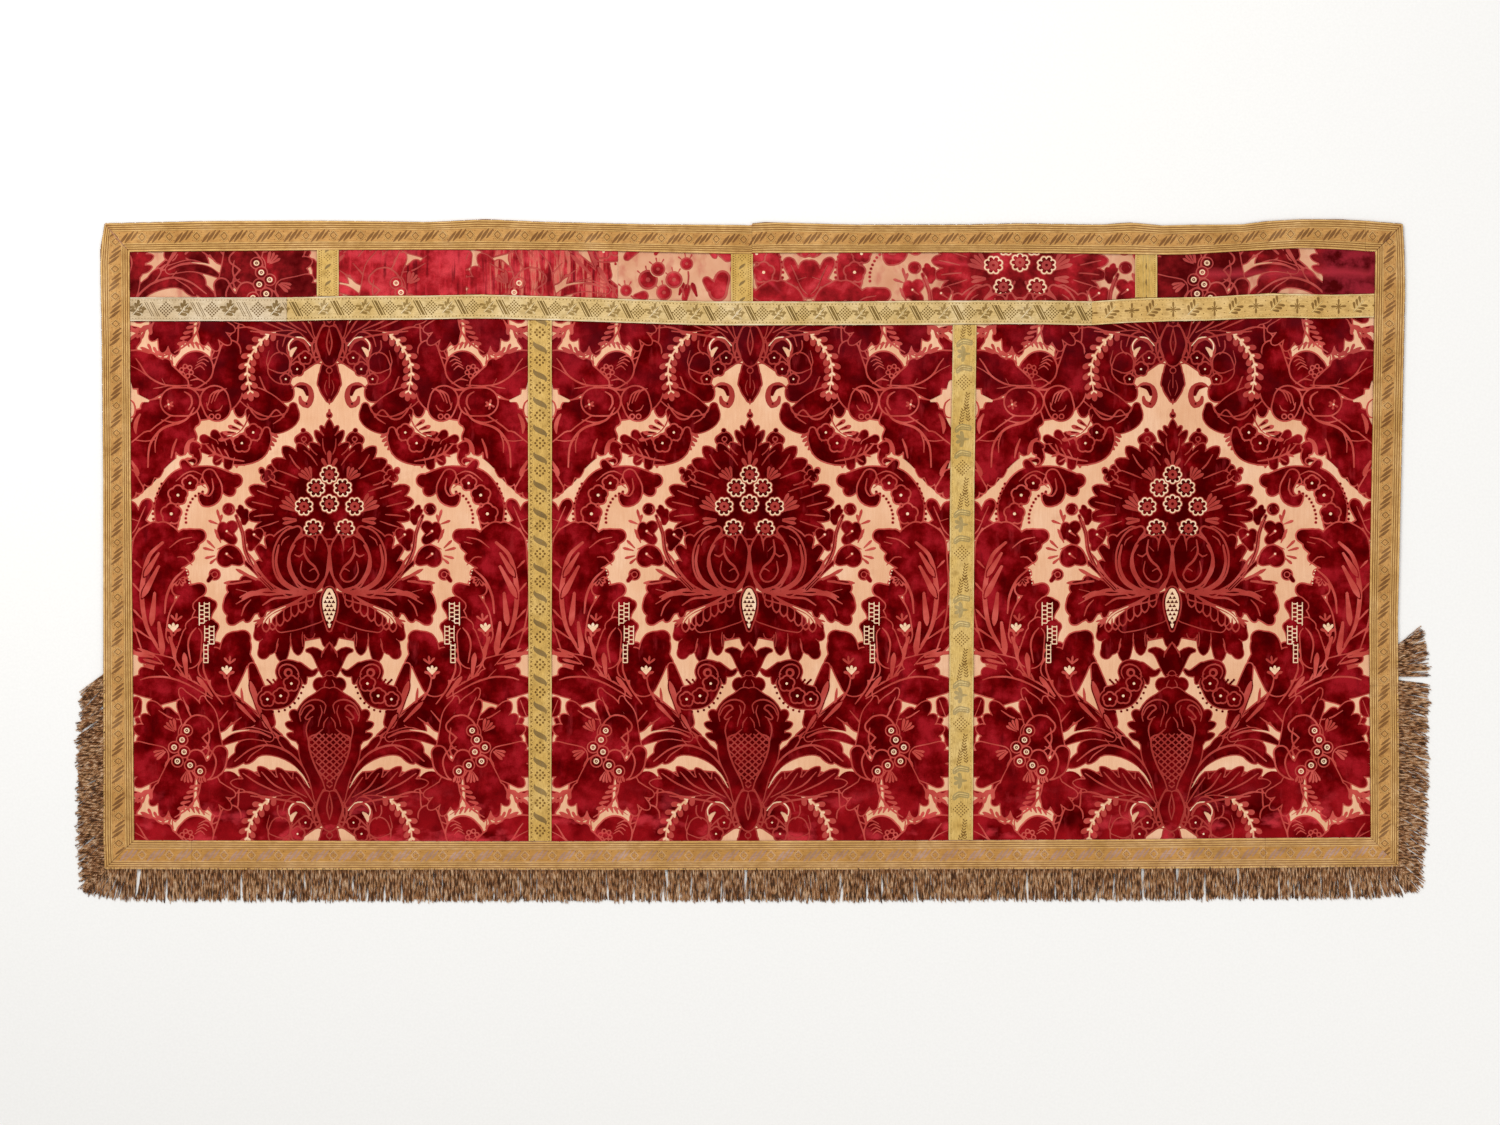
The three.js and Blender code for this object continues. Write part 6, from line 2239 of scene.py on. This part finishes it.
def lamp(name, place, aim, size, power):
    data = bpy.data.lights.new(name, "AREA")
    data.shape = "RECTANGLE"
    data.size, data.size_y = size
    data.energy = power
    item = bpy.data.objects.new(name, data)
    item.location = place
    toward = [a - b for a, b in zip(aim, place)]
    item.rotation_euler = mathutils.Vector(toward).to_track_quat("-Z", "Y").to_euler()
    bpy.context.scene.collection.objects.link(item)


def lights():
    world = bpy.data.worlds.new("studio")
    world.use_nodes = True
    world.node_tree.nodes["Background"].inputs["Color"].default_value = (1.0, 0.99, 0.97, 1.0)
    world.node_tree.nodes["Background"].inputs["Strength"].default_value = 0.55
    bpy.context.scene.world = world
    lamp("key", (-1.6, 2.4, 2.6), (0.0, 0.0, 0.0), (2.4, 1.6), 90.0)
    lamp("fill", (2.2, -1.2, 3.0), (0.0, 0.0, 0.0), (2.6, 2.0), 35.0)


def camera():
    """Straight above the cloth, as far off as shows the photo's width of 2.25 m."""
    sensor, lens, shown = 36.0, 85.0, 2.25
    data = bpy.data.cameras.new("camera")
    data.sensor_width = sensor
    data.lens = lens
    item = bpy.data.objects.new("camera", data)
    item.location = (-0.0015, 0.0, shown * lens / sensor)
    bpy.context.scene.collection.objects.link(item)
    bpy.context.scene.camera = item


# The whole cloth


def dress(piece, node, slot):
    """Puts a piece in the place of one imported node."""
    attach(piece, "root")
    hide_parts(node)
    return piece


def make_velvet():
    design = blanked(draw_design())
    materials = [pile_look(), loop_look(), satin_look(), cream_look(), velvet_back_look()]
    drawn = half_panel(design)
    for node, top, foot, flat in (
        ("velvet_panel_left", -632.5, -632.0, (0.648, 0.824)),
        ("velvet_panel_middle", -1.0, -4.5, (0.633, 0.824)),
        ("velvet_panel_right", 633.0, 630.5, (0.648, 0.824)),
    ):
        piece = dress(velvet_panel(node, top, foot, design, drawn, materials), node, "velvet")
    band = [band_pile_look(), band_loop_look(), band_satin_look(), materials[3], materials[4]]
    for node, length, offset, level, rubbed_from, rubbed_to in (
        ("band_velvet_left", 334.0, -3.0, -271.0, 400.0, 400.0),
        ("band_velvet_second", 435.0, 122.0, -241.0, 148.0, 207.0),
        ("band_velvet_fourth", 606.0, 216.0, 68.0, 700.0, 700.0),
        ("band_velvet_right", 382.0, -315.0, -271.0, 264.0, 400.0),
    ):
        fabric = scrap_fabric(design, length, offset, level, rubbed_from, rubbed_to)
        piece = dress(band_scrap(node, fabric, band), node, "band_velvet")
    piece = dress(band_scrap("band_velvet_third", berries(186.0), band), "band_velvet_third", "band_velvet")


def make_galloons():
    # Dark browns painted into the border's holes and sunken lines, as painted shade
    brown = ("#74491C", "#845626", "#946432")
    border = [
        galloon_looks(
            f"border_{axis}", ("#C28E4A", "#D49E5A", "#E0AC68"), ("#DAAC62", "#E8BA72", "#F4CA88"),
            ("#6E4620", "#80582E", "#987048"), brown, ("#B27A38", "#BA8240", "#C28A48"), "#8C5A28", axis,
        )
        for axis in ("X", "Y")
    ]
    pale = galloon_looks(
        "border_pale", ("#BA8A48", "#CA924A", "#D6A05C"), ("#D6A65C", "#E2B46C", "#EEC482"),
        ("#A07A5C", "#B8907C", "#CCA898"), brown, ("#B27A38", "#BA8240", "#C28A48"), "#94642E", "X",
    )
    edges = border_tile()
    for node in ("border_top_left", "border_top_right", "border_top_corner"):
        dress(galloon(node, 0, edges, border[0]), node, "border")
    for node in ("border_bottom_left", "border_bottom_middle", "border_bottom_right"):
        dress(galloon(node, 0, edges, pale), node, "border")
    for node in ("border_left", "border_right_upper", "border_right_middle", "border_right_lower"):
        dress(galloon(node, 1, edges, border[1]), node, "border")
    # The fourth set of tones of each galloon below is painted shade for its holes and sunken marks
    cream = galloon_looks(
        "cross_cream", ("#D0B48C", "#E0C8A4", "#EAD6B8"), ("#E6D2B0", "#F0E0C4", "#F6EAD4"),
        ("#644820", "#765A2E", "#8E7248"), ("#4A3010", "#5A3E1A", "#6E502C"),
        ("#C8AC86", "#D0B48E", "#D8BE9C"), "#A0845C",
    )
    green = galloon_looks(
        "cross_green", ("#D6B270", "#E6C68A", "#F0D6A4"), ("#ECD096", "#F8E0B0", "#FCECD0"),
        ("#80602C", "#947644", "#AA9064"), ("#543A10", "#644818", "#785A28"),
        ("#C6A25E", "#CCAA68", "#D2B272"), "#A08040",
    )
    warm = galloon_looks(
        "cross_warm", ("#DAAE64", "#E8C078", "#F2CE90"), ("#F2CE84", "#FADE9C", "#FEECC0"),
        ("#6E4E20", "#82602E", "#9A7844"), ("#684414", "#785420", "#8A6632"),
        ("#C69A4C", "#CCA256", "#D2AA60"), "#966C30",
    )
    yellow = galloon_looks(
        "upright", ("#D2A652", "#E0B664", "#EAC478"), ("#E8C068", "#F2CE7E", "#F8DC98"),
        ("#705830", "#846A40", "#9A8056"), ("#5E3C10", "#6E4A18", "#805A26"),
        ("#C89C48", "#CEA450", "#D4AC5A"), "#96702C", "Y",
    )
    faint = galloon_looks(
        "upright_faint", ("#D6AC5A", "#E4BE6E", "#EECC84"), ("#ECC874", "#F6D68C", "#FCE4A8"),
        ("#A08A54", "#B09A64", "#BEA878"), ("#5E3C10", "#6E4A18", "#805A26"),
        ("#C89C48", "#CEA450", "#D4AC5A"), "#96702C", "Y",
    )
    for node, along, tile, looks, slot in (
        ("cross_galloon_left", 0, sprig_tile(), cream, "galloon_cream"),
        ("cross_galloon_middle", 0, zigzag_tile(), green, "galloon_green"),
        ("cross_galloon_right", 0, star_tile(), warm, "galloon_yellow"),
        ("panel_galloon_left", 1, long_tile(), yellow, "galloon_yellow"),
        ("panel_galloon_right", 1, herringbone_tile(), faint, "galloon_yellow"),
        ("band_galloon_left", 1, short_tile(), yellow, "galloon_yellow"),
        ("band_galloon_middle", 1, short_tile(), yellow, "galloon_yellow"),
        ("band_galloon_right", 1, plain_tile(), yellow, "galloon_yellow"),
    ):
        dress(galloon(node, along, tile, looks, scallop=0.3), node, slot)


# Which way the cords point at some places along each side, in degrees, and the stretches with none
BOTTOM_HANG = [
    (-968, 232), (-950, 246), (-925, 258), (-880, 266), (-600, 268), (-300, 271), (0, 269), (300, 272),
    (600, 270), (850, 273), (925, 281), (950, 292), (968, 304),
]
LEFT_HANG = [(-452, 226), (-400, 216), (-300, 213), (-222, 214), (-216, 226), (-190, 226), (-164, 222)]
RIGHT_HANG = [(-452, -44), (-380, -28), (-230, -20), (-180, -8), (-150, 16), (-124, 34)]
BOTTOM_BARE = [(-920, -914), (-130, -125), (-10, -5), (585, 590), (637, 642), (728, 733)]
LEFT_BARE, RIGHT_BARE = [(-217, -210)], [(-177, -171)]

# The places at which one length of border follows another
BOTTOM_JOINS, RIGHT_JOINS = (-838, 771), (-392, -185)


def strip_at(strips, joins, s):
    """The length of border that runs past a place along it."""
    return strips[int(np.searchsorted(joins, s, side="right"))]


def make_fringe():
    foot = [Outline(f"border_bottom_{part}", 0) for part in ("left", "middle", "right")]
    right = [Outline(f"border_right_{part}", 1) for part in ("lower", "middle", "upper")]
    left = Outline("border_left", 1)
    hanging = fringe_look("fringe_hanging", (1.0, 0.18, 1.0))
    sideways = fringe_look("fringe_sideways", (0.26, 1.0, 1.0))

    def edge(outline, s, t):
        return float(outline.at(np.array([float(s)]), t)[0][1 - outline.along])

    def along_foot(x, inset):
        return x, edge(strip_at(foot, BOTTOM_JOINS, x), x, 0.0) + inset

    def along_left(y, inset):
        return edge(left, y, 0.0) + inset, y

    def along_right(y, inset):
        return edge(strip_at(right, RIGHT_JOINS, y), y, 1.0) - inset, y

    for node, start, stop, path, hang, bare, seed, look, draw_sign in (
        ("fringe_bottom", -973.0, 973.0, along_foot, BOTTOM_HANG, BOTTOM_BARE, 3, hanging, 1.0),
        ("fringe_left", -164.5, -462.0, along_left, LEFT_HANG, LEFT_BARE, 5, sideways, 1.0),
        ("fringe_right", -124.5, -460.0, along_right, RIGHT_HANG, RIGHT_BARE, 7, sideways, -1.0),
    ):
        dress(fringe(node, start, stop, path, hang, bare, seed, look, draw_sign), node, "fringe")


bpy.context.scene.view_settings.view_transform = "Standard"
camera()
stage()
lights()
make_velvet()
make_galloons()
make_fringe()
